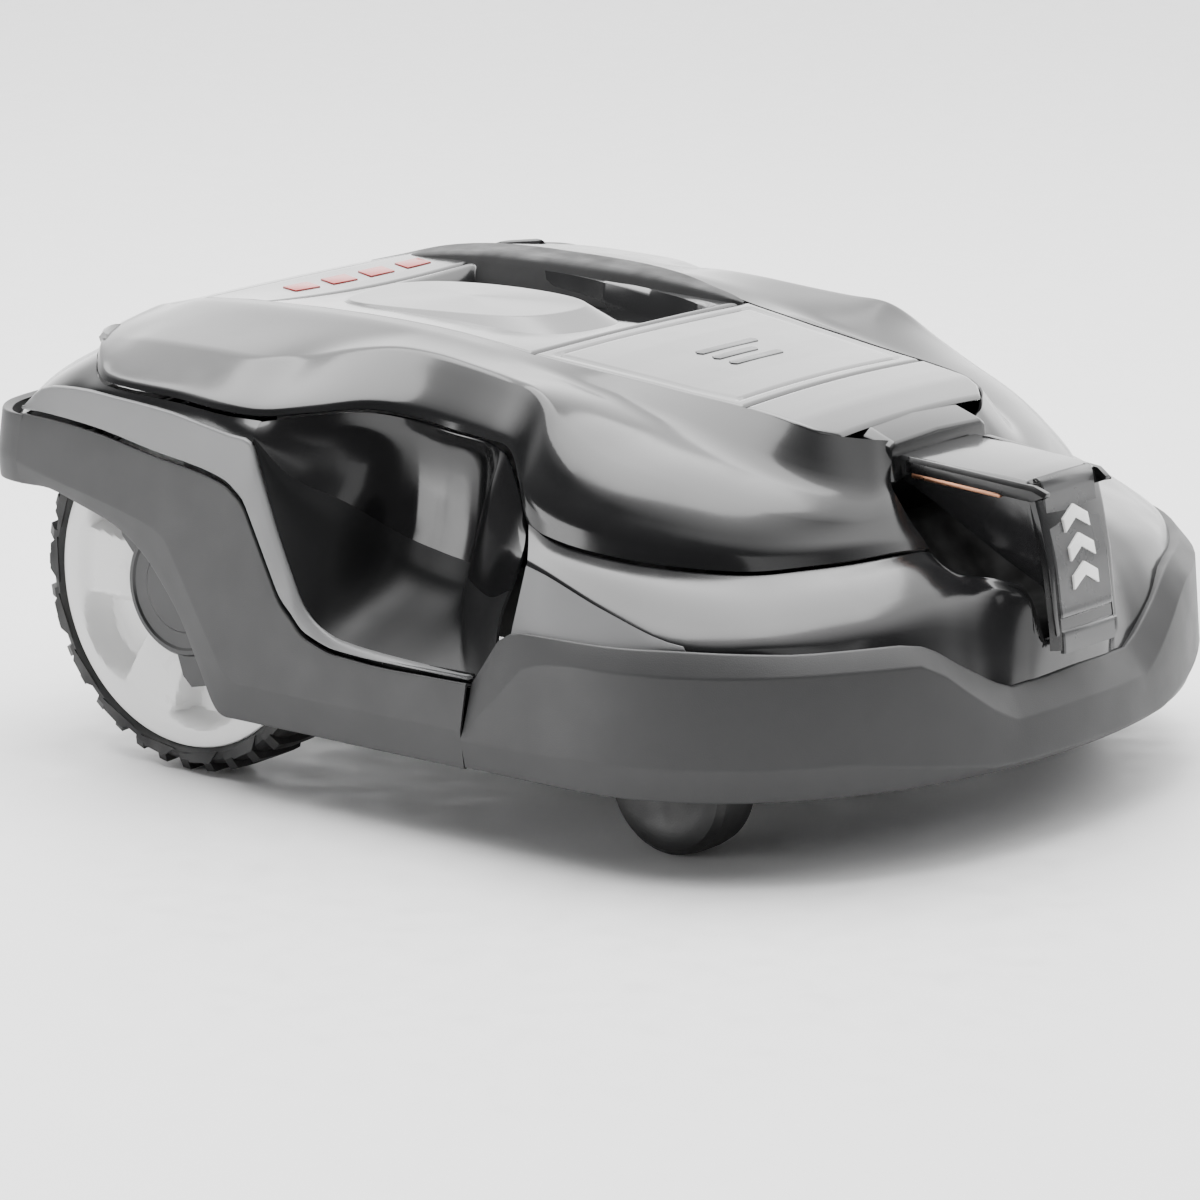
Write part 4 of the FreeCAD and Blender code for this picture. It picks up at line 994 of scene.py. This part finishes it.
def caster_wheel():
    return turned(CASTER + CASTER[:1], CASTER_AXLE, 96)


WHEEL_PIECES = (("drive_tyre_skin", tyre, tyre_mat, "drive_wheel_", "tyre_rubber", "drive_tyre_"),
                ("drive_rim_skin", rim, rim_mat, "drive_wheel_", "rim_white", "drive_rim_"),
                ("hub_cap_skin", cap, cap_mat, "drive_wheel_", "cap_grey", "hub_cap_"),
                ("front_wheel_skin", caster_wheel, wheel_mat, "front_wheel_", "front_wheel_black",
                 "caster_wheel_"))
for side in ("right", "left"):
    other = side == "left"
    for name, build, mat, body, slot, node in WHEEL_PIECES:
        verts, faces = build()
        if other:
            verts, faces = flip_x(verts, faces)
        shape = {"closed": True}
        if build is rim:
            shape = {"wall": 2.0, "outward": (150 if other else -150, AXLE_Y, AXLE_Z)}
        piece(name + "_" + side, verts, faces, mat, body + side, slot, limit=30,
              stands_for=(node + side,), **shape)

# ---- finishes of the CAD pieces that stay ----
INSIDE_LOOKS = (
    ("seal_rubber", (0.02, 0.02, 0.02), 0.7, {"grain": 0.3}),
    ("bush_brass", (0.60, 0.45, 0.20), 0.3, {"metallic": 1.0, "scratch": 0.1}),
    ("display_glass", (0.03, 0.05, 0.05), 0.08, {"coat": 0.8}),
    ("key_grey", (0.25, 0.25, 0.26), 0.5, {"grain": 0.2}),
    ("battery_blue", (0.03, 0.07, 0.20), 0.4, {"grain": 0.1}),
    ("board_green", (0.02, 0.12, 0.05), 0.35, {"grain": 0.2}),
    ("motor_steel", (0.50, 0.50, 0.51), 0.32, {"metallic": 1.0, "scratch": 0.2}),
    ("screw_steel", (0.42, 0.42, 0.43), 0.3, {"metallic": 1.0, "scratch": 0.1}),
    ("blade_steel", (0.62, 0.62, 0.63), 0.25, {"metallic": 1.0, "scratch": 0.25}),
    ("disc_steel", (0.48, 0.48, 0.49), 0.35, {"metallic": 1.0, "scratch": 0.2}),
    ("carrier_plastic", (0.03, 0.03, 0.032), 0.5, {"grain": 0.25}),
    ("skid_plastic", (0.05, 0.05, 0.052), 0.55, {"grain": 0.25, "dust": 0.1}),
    ("switch_black", (0.015, 0.015, 0.016), 0.4, {"grain": 0.1}),
    ("knob_plastic", (0.10, 0.10, 0.105), 0.45, {"grain": 0.2}),
)


def slot_of(mat):
    """A material's slot: its name without Blender's number."""
    return mat.name.split(".")[0]


finishes = [chassis_mat, black_mat, copper_mat, handle_mat, tyre_mat, rim_mat, cap_mat, wheel_mat, red_mat,
            gloss, skirt_mat, strip_mat, deck_mat, white_mat]
finishes += [material(name, color, rough, **more) for name, color, rough, more in INSIDE_LOOKS]
FINISH = {slot_of(mat): mat for mat in finishes}
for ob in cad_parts.values():
    for held in ob.material_slots:
        held.material = FINISH.get(slot_of(held.material), chassis_mat) if held.material else chassis_mat
    if not ob.material_slots:
        ob.data.materials.append(chassis_mat)

# ---- floor, light and camera, in metres ----
FLOOR_HALF = 9.0
floor_mat = material("floor_white", (0.86, 0.86, 0.86), 0.55, spread=0.005, grain=0.0)
mesh = bpy.data.meshes.new("floor")
bm = bmesh.new()
corners = ((-1, -1), (1, -1), (1, 1), (-1, 1))
bm.faces.new([bm.verts.new((x * FLOOR_HALF, y * FLOOR_HALF, 0)) for x, y in corners])
bm.to_mesh(mesh)
bm.free()
mesh.materials.append(floor_mat)
floor = bpy.data.objects.new("floor", mesh)
bpy.context.collection.objects.link(floor)

# The sky brightens towards one side and the top, so that the covers get one broad highlight.
BRIGHT_SIDE = (0.66, 0.36, 0.66)
SKY_STRENGTH = 3.6
SKY = ((0.0, (0.02, 0.02, 0.021, 1)), (0.62, (0.055, 0.055, 0.056, 1)), (0.82, (1.0, 1.0, 1.0, 1)))
world = bpy.data.worlds.new("studio")
bpy.context.scene.world = world
world.use_nodes = True
tree = world.node_tree
tree.nodes.clear()
new, link = tree.nodes.new, tree.links.new
out, back = new("ShaderNodeOutputWorld"), new("ShaderNodeBackground")
coord, dot = new("ShaderNodeTexCoord"), new("ShaderNodeVectorMath")
dot.operation = "DOT_PRODUCT"
dot.inputs[1].default_value = BRIGHT_SIDE
ramp = new("ShaderNodeValToRGB")
stops = ramp.color_ramp.elements
stops.new(SKY[1][0])
for stop, (place, color) in zip(stops, SKY):
    stop.position, stop.color = place, color
scale = new("ShaderNodeMapRange")
scale.inputs["From Min"].default_value, scale.inputs["From Max"].default_value = -1.0, 1.0
link(coord.outputs["Generated"], dot.inputs[0])
link(dot.outputs["Value"], scale.inputs["Value"])
link(scale.outputs[0], ramp.inputs[0])
link(ramp.outputs[0], back.inputs[0])
link(back.outputs[0], out.inputs[0])
back.inputs[1].default_value = SKY_STRENGTH


def softbox(name, place, target, width, height, power):
    """A rectangular lamp at place, turned towards target."""
    data = bpy.data.lights.new(name, "AREA")
    data.shape, data.size, data.size_y, data.energy = "RECTANGLE", width, height, power
    ob = bpy.data.objects.new(name, data)
    bpy.context.collection.objects.link(ob)
    ob.location = place
    ob.rotation_euler = (Vector(target) - Vector(place)).to_track_quat("-Z", "Y").to_euler()


softbox("top_light", (0.3, 0.5, 2.4), (0, 0, 0.1), 2.6, 2.2, 110)
softbox("side_light", (-2.4, 1.2, 0.42), (0, 0.05, 0.12), 1.6, 0.8, 26)
softbox("front_light", (-0.6, -2.8, 1.9), (0, -0.1, 0.1), 1.6, 0.8, 5)

CAMERA_AT = (-2416.06, -1884.01, 831.57)     # mm
TURN, TILT = -0.89965, 0.24044          # about the vertical, and down, in radians
LENS, SENSOR = 161.82, 36.0             # mm
cam_data = bpy.data.cameras.new("camera")
cam_data.lens, cam_data.sensor_width = LENS, SENSOR
cam_data.clip_end = 100
camera = bpy.data.objects.new("camera", cam_data)
bpy.context.collection.objects.link(camera)
camera.location = Vector(CAMERA_AT) * MM
camera.rotation_euler = (math.pi / 2 - TILT, 0, TURN)
bpy.context.scene.camera = camera
